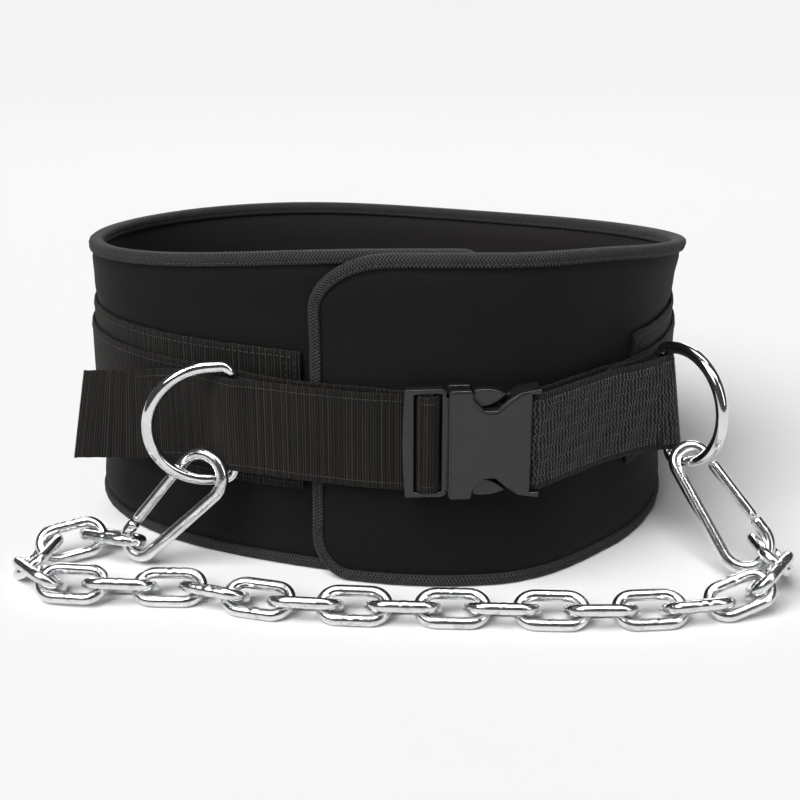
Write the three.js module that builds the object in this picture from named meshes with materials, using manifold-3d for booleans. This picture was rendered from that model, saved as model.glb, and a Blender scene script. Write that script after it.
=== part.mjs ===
// Dip belt: a padded waist band closed on itself, wide webbing sewn round its sides and back, one strap with a
// side-release buckle, two D-rings, two spring carabiners and a chain that hangs between them.
// Millimetres. +X is to the right as the buckle is looked at, -Y is the buckle side, +Z is up, the floor is Z = 0.
import * as THREE from "three";
import { mergeVertices } from "three/addons/utils/BufferGeometryUtils.js";
import Module from "manifold-3d";

const wasm = await Module();
wasm.setup();

// The waist loop, as the outer face of the single band.
const loopHalfWidth = 159;
const loopHalfDepth = 128;
const loopSquareness = 1.96;
// How the worn loop departs from a plain oval, as shares of its radius: cosine and sine, once to four times round.
const loopShape = [[-0.016, -0.078], [-0.002, -0.002], [-0.038, 0.007], [-0.005, 0.015]];
const rimHeight = 146; // mean height of the band
const rimShape = [[-0.01, -0.106], [-0.023, -0.022]]; // the front of the rim stands up and the back sags
const rimFlare = [0.01, 0.019, 0.01, 0.009]; // how far the rim opens out, as shares of the radius
const waistIn = 2.6; // how far the strap draws the middle of the band in

// The padded band.
const bandThick = 6.5;
const stationStep = 13;
const flapEdge = 252.6; // where the outer end of the band stops, degrees round the loop
const underEdge = 646; // where the inner end stops, under the flap
const lapStart = 289; // the flap is clear of the inner end up to here
const lapEnd = 315; // and lies on the common line from here on
const flapTopCorner = [40, 27];
const flapLowCorner = [20, 24];
const underCorner = [10, 10];

// The tape that binds the band's edge.
const tapeWide = 6;
const tapeProud = 0.6;
const gap = 0.3; // clearance between neighbouring pieces
const lapOut = bandThick + 2 * tapeProud + gap + 0.1;

// The wide webbing sewn on the band.
const wideTall = 71;
const wideThick = 1.7;
const wideFrom = 321;
const wideTo = 610;

// The strap.
const strapTall = 47.6;
const strapThick = 1.5;
const strapMid = 77.5; // height of the strap's middle line
const wideLow = strapMid - wideTall / 2 - 2; // the drawn-in middle of the band is straight from here
const wideTop = strapMid + wideTall / 2 + 2; // to here
const flareLow = 0.4; // share of the rim's flare that is reached there
const strapOn = gap + wideThick + gap + strapThick / 2; // its middle, out from the band where it lies on the wide webbing
const tailDrop = 13; // how far the loose end sags

// The D-rings.
const ringWire = 6;
const ringInside = 51.5;
const ringDepth = 41; // from the middle of the bar to the middle of the far wire
const ringArm = 11;
const ringSides = 8;

// The carabiners.
const snapLong = 74;
const snapWire = 6.3;
const snapNarrow = 8; // radius of the middle line at the hinge end
const snapWide = 11.5; // and at the nose end
const gateWire = 5.4;
const gateFrom = 0.1; // share of the straight side that the body keeps at the hinge
const gateTo = 0.84; // and where its nose starts

// The chain.
const linkWire = 5.6;
const linkInside = 25.4;
const linkWide = 10.4;
const linkRoll = 29; // each link lies over to one side, and the next to the other
const runLinks = 12; // links in the run across the front
const linkSides = 12;
const linkFacets = 5;

// The buckle, in its own frame: U along the strap, W outwards, Z up.
const buckleTall = 53.6;
const buckleLong = 64.8;
const ladderThick = 5;
const barLength = strapTall + 2 * gap + 0.2;
const shellThick = 12;
const shellFrom = 22.4;
const shellTo = 60.5;

const rad = Math.PI / 180;
const smooth = (a, b, x) => {
  const k = Math.min(1, Math.max(0, (x - a) / (b - a)));
  return k * k * (3 - 2 * k);
};

// A point of the loop at an angle in degrees, with its outward direction.
function plan(deg) {
  const t = deg * rad;
  const at = (a) => {
    const c = Math.cos(a);
    const s = Math.sin(a);
    let r = 1 / Math.pow(
      Math.pow(Math.abs(c) / loopHalfWidth, loopSquareness) + Math.pow(Math.abs(s) / loopHalfDepth, loopSquareness),
      1 / loopSquareness,
    );
    let share = 1;
    loopShape.forEach(([p, q], k) => {
      share += p * Math.cos((k + 1) * a) + q * Math.sin((k + 1) * a);
    });
    r *= share;
    return new THREE.Vector2(r * c, r * s);
  };
  const p = at(t);
  const q = at(t + 1e-3).sub(at(t - 1e-3)).normalize();
  return { p, out: new THREE.Vector2(q.y, -q.x) };
}

function rim(deg) {
  const t = deg * rad;
  let share = 1;
  rimShape.forEach(([p, q], k) => {
    share += p * Math.cos((k + 1) * t) + q * Math.sin((k + 1) * t);
  });
  return rimHeight * share;
}

// A point out from the band's face by w, at angle deg and height z.
function face(deg, z, w) {
  const { p, out } = plan(deg);
  const t = deg * rad;
  let flare = 0;
  rimFlare.forEach((share, k) => {
    flare += share * Math.cos(k * t);
  });
  const above = Math.max(0, (z - wideTop) / (rim(deg) - wideTop));
  const open = flare * (flareLow * Math.min(1, z / wideTop) + (1 - flareLow) * above * above);
  const drawn = waistIn * smooth(0, wideLow, z) * (1 - smooth(0, 1, above));
  const q = p.clone().multiplyScalar(1 + open).addScaledVector(out, w - drawn);
  return new THREE.Vector3(q.x, q.y, z);
}

const lap = (deg) => lapOut * (1 - smooth(lapStart, lapEnd, deg));

// Length along the loop from the flap's edge, and back.
const lengths = [0];
const lengthStep = 0.5;
for (let deg = flapEdge; deg < underEdge + 5; deg += lengthStep) {
  const a = plan(deg).p;
  const b = plan(deg + lengthStep).p;
  lengths.push(lengths[lengths.length - 1] + a.distanceTo(b));
}
function lengthAt(deg) {
  const k = (deg - flapEdge) / lengthStep;
  const i = Math.max(0, Math.min(lengths.length - 2, Math.floor(k)));
  return lengths[i] + (lengths[i + 1] - lengths[i]) * (k - i);
}
function angleAt(a) {
  let i = 0;
  while (i < lengths.length - 2 && lengths[i + 1] < a) i += 1;
  return flapEdge + lengthStep * (i + (a - lengths[i]) / (lengths[i + 1] - lengths[i]));
}

// One closed skin over rings of points, each ring a closed outline. Open ends are capped straight across.
function loft(rings, closed) {
  const n = rings[0].length;
  const position = new Float32Array(rings.flat().flatMap((p) => [p.x, p.y, p.z]));
  const index = [];
  const count = closed ? rings.length : rings.length - 1;
  for (let i = 0; i < count; i += 1) {
    const a = i * n;
    const b = ((i + 1) % rings.length) * n;
    for (let j = 0; j < n; j += 1) {
      const k = (j + 1) % n;
      index.push(a + j, b + j, b + k, a + j, b + k, a + k);
    }
  }
  if (!closed) {
    const last = (rings.length - 1) * n;
    for (let j = 0; j < n / 2 - 1; j += 1) {
      const [p, q, r, s] = [j, j + 1, n - 2 - j, n - 1 - j];
      index.push(p, q, r, p, r, s);
      index.push(last + q, last + p, last + r, last + p, last + s, last + r);
    }
  }
  const pt = (i) => new THREE.Vector3().fromArray(position, 3 * i);
  let volume = 0;
  for (let i = 0; i < index.length; i += 3) {
    volume += pt(index[i]).dot(pt(index[i + 1]).cross(pt(index[i + 2])));
  }
  if (volume < 0) index.reverse();
  const g = new THREE.BufferGeometry();
  g.setAttribute("position", new THREE.BufferAttribute(position, 3));
  g.setIndex(index);
  g.computeVertexNormals();
  return g;
}

const toSolid = (geometry) => {
  const g = geometry.clone();
  g.deleteAttribute("normal");
  g.deleteAttribute("uv");
  const m = mergeVertices(g, 1e-4);
  return new wasm.Manifold(
    new wasm.Mesh({
      numProp: 3,
      vertProperties: m.attributes.position.array,
      triVerts: new Uint32Array(m.index.array),
    }),
  );
};
const toGeometry = (solid) => {
  const m = solid.getMesh();
  const g = new THREE.BufferGeometry();
  g.setAttribute("position", new THREE.BufferAttribute(new Float32Array(m.vertProperties), 3));
  g.setIndex(new THREE.BufferAttribute(m.triVerts, 1));
  g.computeVertexNormals();
  return g;
};

// A round wire along a path of points, with the direction that the wire's first facet keeps to.
function wire(points, radius, facets, closed, keep) {
  const n = points.length;
  return loft(
    points.map((p, i) => {
      const before = points[closed ? (i + n - 1) % n : Math.max(0, i - 1)];
      const after = points[closed ? (i + 1) % n : Math.min(n - 1, i + 1)];
      const along = after.clone().sub(before).normalize();
      const side = keep.clone().addScaledVector(along, -keep.dot(along)).normalize();
      const up = along.clone().cross(side);
      const ring = [];
      for (let k = 0; k < facets; k += 1) {
        const a = (2 * Math.PI * (k + 0.5)) / facets;
        ring.push(
          p.clone().addScaledVector(side, radius * Math.cos(a)).addScaledVector(up, radius * Math.sin(a)),
        );
      }
      return ring;
    }),
    closed,
  );
}

const material = (colour, roughness, metalness) =>
  new THREE.MeshStandardMaterial({ color: colour, roughness, metalness });
const paddedCloth = () => material("#17171a", 0.92, 0);
const tapeCloth = () => material("#1e1d1f", 0.85, 0);
const webbing = () => material("#232120", 0.8, 0);
const plastic = () => material("#2b2b2d", 0.42, 0);
const chrome = () => material("#d8d9dc", 0.12, 1);
const zinc = () => material("#c3c6c9", 0.28, 1);

const group = new THREE.Group();
function add(name, geometry, look) {
  const mesh = new THREE.Mesh(geometry, look);
  mesh.name = name;
  group.add(mesh);
  return mesh;
}

// The band laid flat: length along the loop from 0 to bandLong, height from 0 to the rim.
const bandLong = lengthAt(underEdge);
function outline() {
  const pts = [];
  const quarter = (cx, cz, rx, rz, from, count) => {
    for (let k = 0; k <= count; k += 1) {
      const a = (from + (90 * k) / count) * rad;
      pts.push([cx + rx * Math.cos(a), cz + rz * Math.sin(a), true]);
    }
  };
  const [fx, fz] = flapLowCorner;
  const [tx, tz] = flapTopCorner;
  const [ux, uz] = underCorner;
  const run = (from, to, z) => {
    const count = Math.round(Math.abs(to - from) / stationStep);
    for (let k = 1; k < count; k += 1) {
      const a = from + ((to - from) * k) / count;
      pts.push([a, z(a)]);
    }
  };
  const top = (a) => rim(angleAt(a));
  quarter(fx, fz, fx, fz, 180, 8);
  run(fx, bandLong - ux, () => 0);
  quarter(bandLong - ux, uz, ux, uz, 270, 3);
  const endTop = top(bandLong - ux);
  for (let k = 1; k < 6; k += 1) pts.push([bandLong, uz + ((endTop - 2 * uz) * k) / 6]);
  quarter(bandLong - ux, endTop - uz, ux, uz, 0, 3);
  run(bandLong - ux, tx, top);
  for (let k = 0; k <= 9; k += 1) {
    const a = (90 + 10 * k) * rad;
    const x = tx + tx * Math.cos(a);
    pts.push([x, top(Math.max(x, 0)) - tz + tz * Math.sin(a), true]);
  }
  const edgeTop = top(0) - tz;
  for (let k = 1; k < 5; k += 1) pts.push([0, edgeTop + ((fz - edgeTop) * k) / 5]);
  return pts;
}
const edge = outline();
const inward = edge.map((p, i) => {
  const a = edge[(i + edge.length - 1) % edge.length];
  const b = edge[(i + 1) % edge.length];
  const d = new THREE.Vector2(b[0] - a[0], b[1] - a[1]).normalize();
  return new THREE.Vector2(-d.y, d.x);
});
const onBand = (a, z, w) => {
  const deg = angleAt(Math.max(0, Math.min(bandLong, a)));
  return face(deg, z, lap(deg) + w);
};
const tapeProfile = [
  [tapeWide - gap, tapeProud],
  [1.3, tapeProud],
  [0, -1.1],
  [0, 1.1 - bandThick],
  [1.3, -bandThick - tapeProud],
  [tapeWide - gap, -bandThick - tapeProud],
];
add(
  "edge_binding",
  loft(
    edge.map(([a, z], i) =>
      tapeProfile.map(([inset, w]) => onBand(a + inward[i].x * inset, z + inward[i].y * inset, w)),
    ),
    true,
  ),
  tapeCloth(),
);

// The padded body inside the binding, in columns along the loop.
const inner = edge.map(([a, z], i) => [a + inward[i].x * tapeWide, z + inward[i].y * tapeWide]);
function innerHeight(a, upper) {
  let best = null;
  inner.forEach((p, i) => {
    const q = inner[(i + 1) % inner.length];
    const forward = q[0] > p[0];
    if (Math.abs(q[0] - p[0]) < 1e-6 || forward === upper) return;
    const k = (a - p[0]) / (q[0] - p[0]);
    if (k < -1e-6 || k > 1 + 1e-6) return;
    const z = p[1] + (q[1] - p[1]) * k;
    if (best === null || (upper ? z > best : z < best)) best = z;
  });
  return best;
}
const columns = [];
const first = Math.min(...inner.map((p) => p[0])) + 0.02;
const last = Math.max(...inner.map((p) => p[0])) - 0.02;
for (const share of [0, 0.03, 0.09, 0.18, 0.3, 0.45, 0.62, 0.8]) {
  columns.push(first + share * (flapTopCorner[0] - tapeWide));
}
const middleRun = last - underCorner[0] - flapTopCorner[0];
const steps = Math.round(middleRun / stationStep);
for (let k = 0; k <= steps; k += 1) columns.push(flapTopCorner[0] + (middleRun * k) / steps);
columns.push(last - underCorner[0] * 0.5, last - 1, last);
add(
  "padded_band",
  loft(
    columns.map((a) => {
      const lo = innerHeight(a, false);
      const hi = innerHeight(a, true);
      const zs = [lo, (lo + wideLow) / 2, wideLow, wideTop, (wideTop + hi) / 2, hi];
      return [...zs.map((z) => onBand(a, z, 0)), ...zs.slice().reverse().map((z) => onBand(a, z, -bandThick))];
    }),
    false,
  ),
  paddedCloth(),
);

// The wide webbing, sewn flat on the band.
const clothStep = 5;
const wideRings = [];
for (let k = 0; wideFrom + clothStep * (k - 1) < wideTo; k += 1) {
  const deg = Math.min(wideTo, wideFrom + clothStep * k);
  const zs = [strapMid - wideTall / 2, strapMid, strapMid + wideTall / 2];
  wideRings.push([
    ...zs.map((z) => face(deg, z, gap + wideThick)),
    ...zs.slice().reverse().map((z) => face(deg, z, gap)),
  ]);
}
add("wide_webbing", loft(wideRings, false), webbing());

// The buckle stands square to the loop at its own middle.
const buckleAt = 283;
const buckleOut = lapOut + 0.7 + shellThick / 2;
const buckleMid = plan(buckleAt);
const alongU = new THREE.Vector2(-buckleMid.out.y, buckleMid.out.x);
const inBuckle = (u, w) =>
  buckleMid.p
    .clone()
    .addScaledVector(buckleMid.out, buckleOut - waistIn + w)
    .addScaledVector(alongU, u - buckleLong / 2);
const buckleFrame = new THREE.Matrix4().makeBasis(
  new THREE.Vector3(alongU.x, alongU.y, 0),
  new THREE.Vector3(0, 0, 1),
  new THREE.Vector3(buckleMid.out.x, buckleMid.out.y, 0),
);
const buckleOrigin = inBuckle(0, 0);
buckleFrame.setPosition(buckleOrigin.x, buckleOrigin.y, strapMid);
const slab = (shape, from, to, segments) => {
  const g = new THREE.ExtrudeGeometry(shape, { depth: to - from, bevelEnabled: false, curveSegments: segments });
  g.translate(0, 0, from);
  return toSolid(g);
};
const block = (u0, u1, z0, z1, w0, w1) => {
  const g = new THREE.BoxGeometry(u1 - u0, z1 - z0, w1 - w0);
  g.translate((u0 + u1) / 2, (z0 + z1) / 2, (w0 + w1) / 2);
  return toSolid(g);
};
const half = buckleTall / 2;
const barHalf = barLength / 2;
const ladder = new THREE.Shape();
ladder.moveTo(2.4, -half);
ladder.quadraticCurveTo(0, 0, 2.4, half);
ladder.lineTo(19.5, half);
ladder.lineTo(shellFrom - gap, half - 1.6);
ladder.lineTo(shellFrom - gap, 1 - half + 0.6);
ladder.lineTo(19.5, -half);
ladder.closePath();
const slotOne = [6.6, 10.6];
const slotTwo = [15.8, 19.4];
const ladderHalf = ladderThick / 2;
const armIn = 17.2;
const arm = (sign) => {
  const s = new THREE.Shape();
  s.moveTo(shellFrom - 2, sign * armIn);
  s.lineTo(36, sign * armIn);
  s.quadraticCurveTo(44, sign * (armIn + 0.5), 49.4, sign * (half - 3.2));
  s.quadraticCurveTo(44, sign * (half + 0.4), shellFrom + 12, sign * (half - 0.8));
  s.lineTo(shellFrom + 11.4, sign * (half - 3.3));
  s.lineTo(shellFrom - 2, sign * (half - 3.3));
  s.closePath();
  return slab(s, -ladderHalf, ladderHalf, 6);
};
let male = slab(ladder, -ladderHalf, ladderHalf, 8);
for (const [from, to] of [slotOne, slotTwo]) {
  male = male.subtract(block(from, to, -barHalf, barHalf, -ladderThick, ladderThick));
}
male = male.add(arm(1)).add(arm(-1)).add(block(shellFrom - 2, shellFrom + 4, -half + 3.4, half - 3.4, -ladderHalf, ladderHalf));
add("buckle_male", toGeometry(male).applyMatrix4(buckleFrame), plastic());

const shell = new THREE.Shape();
const notch = (sign, reverse) => {
  const pts = [
    [shellFrom, half - 1],
    [shellFrom + 1, half],
    [shellFrom + 10.4, half],
    [shellFrom + 11.2, half - 4.5],
    [shellFrom + 16.5, half - 10],
    [shellFrom + 22, half - 10],
    [shellFrom + 27, half - 5.4],
    [shellFrom + 33, half - 1.4],
    [buckleLong, half],
  ].map(([u, z]) => [u, sign * z]);
  return reverse ? pts.reverse() : pts;
};
[...notch(-1, false), ...notch(1, true)].forEach(([u, z], i) => (i ? shell.lineTo(u, z) : shell.moveTo(u, z)));
shell.closePath();
const shellHalf = shellThick / 2;
const room = ladderHalf + gap;
let female = slab(shell, -shellHalf, shellHalf, 4)
  .subtract(block(shellFrom - 1, shellFrom + 4.4, 3 - half, half - 3, -room, room))
  .subtract(block(shellFrom - 1, shellFrom + 29, armIn - gap, half + 2, -room, room))
  .subtract(block(shellFrom - 1, shellFrom + 29, -half - 2, gap - armIn, -room, room))
  .subtract(block(shellTo, buckleLong + 1, -barHalf, barHalf, -shellThick, shellThick))
  .subtract(block(shellTo - 4.5, shellTo + 0.5, -barHalf, barHalf, -shellThick, shellHalf - 2))
  .add(block(shellTo + 0.6, shellTo + 3.6, -barHalf - 0.5, barHalf + 0.5, -1.7, 1.7));
female = female.subtract(block(shellFrom + 10.4, shellFrom + 11.4, half - 3.1, half + 2, -room, room));
add("buckle_female", toGeometry(female).applyMatrix4(buckleFrame), plastic());

// Where the D-rings stand: their bars, and the way they point.
const leftBar = face(236, strapMid - 2, strapOn + 1.9 + strapThick / 2 + gap + ringWire / 2);
const leftWay = new THREE.Vector3(-Math.cos(12 * rad), -Math.sin(12 * rad), 0);
const rightBar = face(325.5, strapMid - 2, 15.5);
const rightWay = new THREE.Vector3(0.5, -0.84, 0.2).normalize();

// The strap's middle line in plan, from the end sewn by the right ring to the loose end at the left.
const layer = strapThick + gap + 0.1;
const onStrap = (deg, w, z = strapMid) => ({ deg, p: face(deg, strapMid, w), z });
const route = [];
const follow = (list) => list.forEach(([deg, w, drop]) => route.push(onStrap(deg, w, strapMid - (drop || 0))));
// A half turn round a bar in plan: centre, radius, first and last direction in degrees.
const turn = (centre, radius, from, to, deg, count, lean) => {
  for (let k = 0; k <= count; k += 1) {
    const a = (from + ((to - from) * k) / count) * rad;
    route.push({
      deg,
      p: new THREE.Vector3(centre.x + radius * Math.cos(a), centre.y + radius * Math.sin(a), strapMid),
      z: strapMid,
      lean,
    });
  }
};
const wrap = (r) => r + gap + strapThick / 2;
const outwards = (v) => Math.atan2(v.y, v.x) / rad;
const buckleOutDeg = outwards(buckleMid.out);
const rightOut = outwards(plan(325.5).out);
follow([[311, lap(311) + 1.2 + 1.6 * layer + strapThick], [316, strapOn + 1.15 * layer], [320.5, strapOn + 1.9 * layer]]);
const rightUp = new THREE.Vector3(0, 0, 1).addScaledVector(rightWay, -rightWay.z);
const rightLean = new THREE.Vector3(rightUp.x / rightUp.z, rightUp.y / rightUp.z, 0);
turn(rightBar, wrap(ringWire / 2 + 0.9), rightOut + 200, rightOut - 22, 325.5, 10, rightLean);
follow([[320.2, 13.2], [316, 10.6], [311, lap(311) + 1.2 + 2.7 * layer + strapThick]]);
const femaleBar = inBuckle(shellTo + 2.1, 0);
turn(femaleBar, wrap(2.45), buckleOutDeg + 8, buckleOutDeg - 186, 296, 9);
follow([[303, lap(303) + 1.9], [307, lap(307) + 1.6], [311, lap(311) + 1.4], [316, strapOn + 0.1]]);
for (let deg = wideFrom; deg <= 586; deg += clothStep) route.push(onStrap(deg, strapOn));
follow([[591, strapOn + 0.4], [596, strapOn + 1.9], [601, strapOn + 4.2], [606, strapOn + 6.2]]);
follow([[611, lapOut + tapeProud + 1.5], [617, lapOut + 1.7], [624, lapOut + 1.7]]);
const maleBar = inBuckle((slotOne[1] + slotTwo[0]) / 2, 0);
const inLadder = (u, w, drop) => {
  const q = inBuckle(u, w);
  route.push({ deg: 630, p: new THREE.Vector3(q.x, q.y, strapMid), z: strapMid - drop });
};
const tailIn = -ladderHalf - gap - strapThick / 2;
inLadder(4, tailIn - layer, 0);
inLadder(slotOne[0] + 2, tailIn - layer, 0);
const maleWrap = wrap(Math.hypot(ladderHalf, (slotTwo[0] - slotOne[1]) / 2));
turn(maleBar, maleWrap, buckleOutDeg + 182, buckleOutDeg - 92, 630, 12);
inLadder(slotOne[0] + 1.8, 0.1 - ladderHalf, 0.3);
inLadder(slotOne[0] + 0.4, tailIn, 0.6);
inLadder(4, tailIn, 1);
follow([[264, lapOut + 5.4, 1.5], [258, 13.1, 1.5], [252, 13.1, 1.5], [246, 12.9, 1.5], [241, 12.9, 1.5]]);
follow([[236, strapOn + 1.9 + 2 * (strapThick / 2 + gap) + ringWire + strapThick / 2, 1.5], [232.5, 10.8, 1.6]]);
follow([[229, 8.6, 2], [225, 7.4, 3], [220, 8.2, 5], [215, 11, 7.5], [210, 15, 10], [205.5, 19.5, tailDrop]]);
const strapRings = route.map((s, i) => {
  const a = route[Math.max(0, i - 1)].p;
  const b = route[Math.min(route.length - 1, i + 1)].p;
  const side = new THREE.Vector3(b.y - a.y, a.x - b.x, 0).normalize();
  const mid = face(s.deg, strapMid, 0);
  const lean = (dz) => (s.lean ? s.lean.clone().multiplyScalar(dz) : face(s.deg, strapMid + dz, 0).sub(mid).setZ(0));
  const at = (dz, w) => {
    const q = s.p.clone().add(lean(dz)).addScaledVector(side, w);
    q.z = s.z + dz;
    return q;
  };
  const h = strapTall / 2;
  const t = strapThick / 2;
  return [at(-h, t), at(h, t), at(h, -t), at(-h, -t)];
});
add("strap", loft(strapRings, false), webbing());

// A D-ring in its own plane: X away from the bar, Y along the bar.
function ringPath() {
  const h = (ringInside + ringWire) / 2;
  const r = 5;
  const pts = [];
  for (let k = 0; k <= 4; k += 1) pts.push([0, -(h - r) + (2 * (h - r) * k) / 4]);
  for (const a of [30, 60]) pts.push([r - r * Math.cos(a * rad), h - r + r * Math.sin(a * rad)]);
  pts.push([r, h]);
  for (let k = 0; k <= 14; k += 1) {
    const a = (90 - (180 * k) / 14) * rad;
    pts.push([ringArm + (ringDepth - ringArm) * Math.cos(a), h * Math.sin(a)]);
  }
  pts.push([r, -h]);
  for (const a of [60, 30]) pts.push([r - r * Math.cos(a * rad), -(h - r) - r * Math.sin(a * rad)]);
  return pts;
}
function ring(name, bar, way) {
  const up = new THREE.Vector3(0, 0, 1).addScaledVector(way, -way.z).normalize();
  const normal = way.clone().cross(up);
  const pts = ringPath().map(([x, y]) => bar.clone().addScaledVector(way, x).addScaledVector(up, y));
  add(name, wire(pts, ringWire / 2, ringSides, true, normal), chrome());
  return (x, y) => bar.clone().addScaledVector(way, x).addScaledVector(up, y);
}
const onLeftRing = ring("ring_left", leftBar, leftWay);
const onRightRing = ring("ring_right", rightBar, rightWay);


// A carabiner in its own plane: X from the middle of the hinge end's curve to the middle of the nose end's,
// Y towards the gate.
const snapBetween = snapLong - snapWire - snapNarrow - snapWide;
const snapLean = Math.asin((snapWide - snapNarrow) / snapBetween);
const hingeSide = [-snapNarrow * Math.sin(snapLean), snapNarrow * Math.cos(snapLean)];
const noseSide = [snapBetween - snapWide * Math.sin(snapLean), snapWide * Math.cos(snapLean)];
const alongSide = (k) => [0, 1].map((i) => hingeSide[i] + (noseSide[i] - hingeSide[i]) * k);
function snapPath() {
  const pts = [alongSide(gateFrom), alongSide(gateFrom / 2)];
  const from = 90 + snapLean / rad;
  for (let k = 0; k <= 8; k += 1) {
    const a = (from + ((360 - 2 * from) * k) / 8) * rad;
    pts.push([snapNarrow * Math.cos(a), snapNarrow * Math.sin(a)]);
  }
  for (const k of [0.33, 0.66]) {
    const [x, y] = alongSide(k);
    pts.push([x, -y]);
  }
  for (let k = 0; k <= 10; k += 1) {
    const a = (-from + (2 * from * k) / 10) * rad;
    pts.push([snapBetween + snapWide * Math.cos(a), snapWide * Math.sin(a)]);
  }
  pts.push(alongSide((1 + gateTo) / 2), alongSide(gateTo));
  return pts;
}
function carabiner(side, origin, long, normal, gateHint) {
  const x = long.clone().normalize();
  const z = normal.clone().addScaledVector(x, -normal.dot(x)).normalize();
  const y = z.clone().cross(x);
  if (y.dot(gateHint) < 0) {
    y.negate();
    z.negate();
  }
  const at = ([a, b]) => origin.clone().addScaledVector(x, a).addScaledVector(y, b);
  add("carabiner_" + side, wire(snapPath().map(at), snapWire / 2, 8, false, z), zinc());
  const span = Math.hypot(noseSide[0] - hingeSide[0], noseSide[1] - hingeSide[1]);
  const a = gateFrom + (2 * gap) / span;
  const b = gateTo - gap / span;
  const steps = [[0, 0.4], [0.9, 0.74], [2.4, 1], [0.5, 1], [-2.6, 1], [-1.8, 0.72], [0, 0.7]];
  const rings = steps.map(([d, r]) => {
    const k = d === 0.5 ? (a + b) / 2 : d > 0 || r === 0.4 ? a + d / span : b + d / span;
    const c = at(alongSide(k));
    const ring = [];
    const across = at(alongSide(0)).sub(at(alongSide(1))).normalize().cross(z);
    for (let j = 0; j < 8; j += 1) {
      const t = (2 * Math.PI * (j + 0.5)) / 8;
      ring.push(
        c.clone().addScaledVector(z, (gateWire / 2) * r * Math.cos(t)).addScaledVector(across, (gateWire / 2) * r * Math.sin(t)),
      );
    }
    return ring;
  });
  add("gate_" + side, loft(rings, false), zinc());
  const hinge = at(alongSide(a + 1.2 / span));
  return { hinge, axis: z, at };
}
const ringHalf = (ringInside + ringWire) / 2;
const atRing = (x) => -ringHalf * Math.sqrt(1 - ((x - ringArm) / (ringDepth - ringArm)) ** 2);
const leftHang = onLeftRing(17.4, atRing(17.4));
const rightHang = onRightRing(16, -ringHalf + 0.4);
const chainLeft = new THREE.Vector3(-126.3, -121.35, 15.5); // the left carabiner points away from here
const chainRight = new THREE.Vector3(171, -139, 16); // the right carabiner points to here
const spin = (v, axis, deg) => v.clone().applyAxisAngle(axis, deg * rad);
const square = (v, axis) => v.clone().addScaledVector(axis, -v.dot(axis)).normalize();
const leftLong = leftHang.clone().sub(chainLeft).normalize();
const rightLong = chainRight.clone().sub(rightHang).normalize();
const leftTurn = 227;
const rightTurn = 25;
const leftSnap = carabiner(
  "left",
  leftHang.clone().addScaledVector(leftLong, 1.2 - snapBetween),
  leftLong,
  spin(square(leftWay, leftLong), leftLong, leftTurn),
  new THREE.Vector3(-0.5, 0, 1),
);
const rightSnap = carabiner(
  "right",
  rightHang.clone().addScaledVector(rightLong, 0.3),
  rightLong,
  spin(square(rightWay, rightLong), rightLong, rightTurn),
  new THREE.Vector3(1, 0, 0),
);

// The chain. Each row is a place where two links meet, and how far the link after it lies over.
const restHigh = linkWire / 2 + ((linkWide + linkWire) / 2) * Math.sin(linkRoll * rad) + 0.1;
const leftPile = [
  [-134.4, -118.9, 11.8, 20.6],
  [-153.5, -110.5, 11.1, -48.7],
  [-175.7, -120, 8.6, 35.9],
  [-180, -140.8, 7.6, -38.1],
  [-165.4, -159, 8.4, 32.2],
  [-143.9, -162.1, 8.6, -32.4],
];
const runPoints = [[-119.8, -160.5], [-96, -161.5], [-64, -174], [-16, -180], [44, -183], [90, -185], [124, -183], [150, -177.5]];
const rightPile = [
  [169.2, -171, 12, -48.5],
  [181.8, -154.5, 15.5, 37.2],
  [180.5, -130.2, 14.2, 0],
];
const joints = leftPile.map(([x, y, z, roll]) => ({ p: new THREE.Vector3(x, y, z), roll }));
const runLine = new THREE.CatmullRomCurve3(runPoints.map(([x, y]) => new THREE.Vector3(x, y, restHigh)));
runLine.getSpacedPoints(runLinks).forEach((p, k) => joints.push({ p, roll: (k % 2 ? -1 : 1) * linkRoll }));
rightPile.forEach(([x, y, z, roll]) => joints.push({ p: new THREE.Vector3(x, y, z), roll }));
const linkLong = linkInside + linkWire;
function linkPath() {
  const r = (linkWide + linkWire) / 2;
  const straight = linkLong / 2 - r;
  const pts = [];
  const quarter = linkSides / 4;
  for (const sign of [1, -1]) {
    for (let k = 0; k < 2 * quarter; k += 1) {
      const a = (-90 + (180 * k) / (2 * quarter - 1)) * rad;
      pts.push([sign * (straight + r * Math.cos(a)), sign * r * Math.sin(a)]);
    }
  }
  return pts;
}
for (let i = 0; i < joints.length - 1; i += 1) {
  const a = joints[i].p;
  const b = joints[i + 1].p;
  const along = b.clone().sub(a).normalize();
  const level = new THREE.Vector3(-along.y, along.x, 0).normalize();
  const across = spin(level, along, joints[i].roll);
  const normal = along.clone().cross(across);
  const mid = a.clone().add(b).multiplyScalar(0.5);
  const pts = linkPath().map(([u, v]) => mid.clone().addScaledVector(along, u).addScaledVector(across, v));
  add("link_" + String(i + 1).padStart(2, "0"), wire(pts, linkWire / 2, linkFacets, true, normal), zinc());
}

// The origin is under the middle of the whole object, on the floor.
const bounds = new THREE.Box3().setFromObject(group, true);
group.position.set(-(bounds.min.x + bounds.max.x) / 2, -(bounds.min.y + bounds.max.y) / 2, -bounds.min.z);

export default group;
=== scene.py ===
import math
import bmesh
import bpy
import numpy as np
from mathutils import Matrix, Vector


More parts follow.
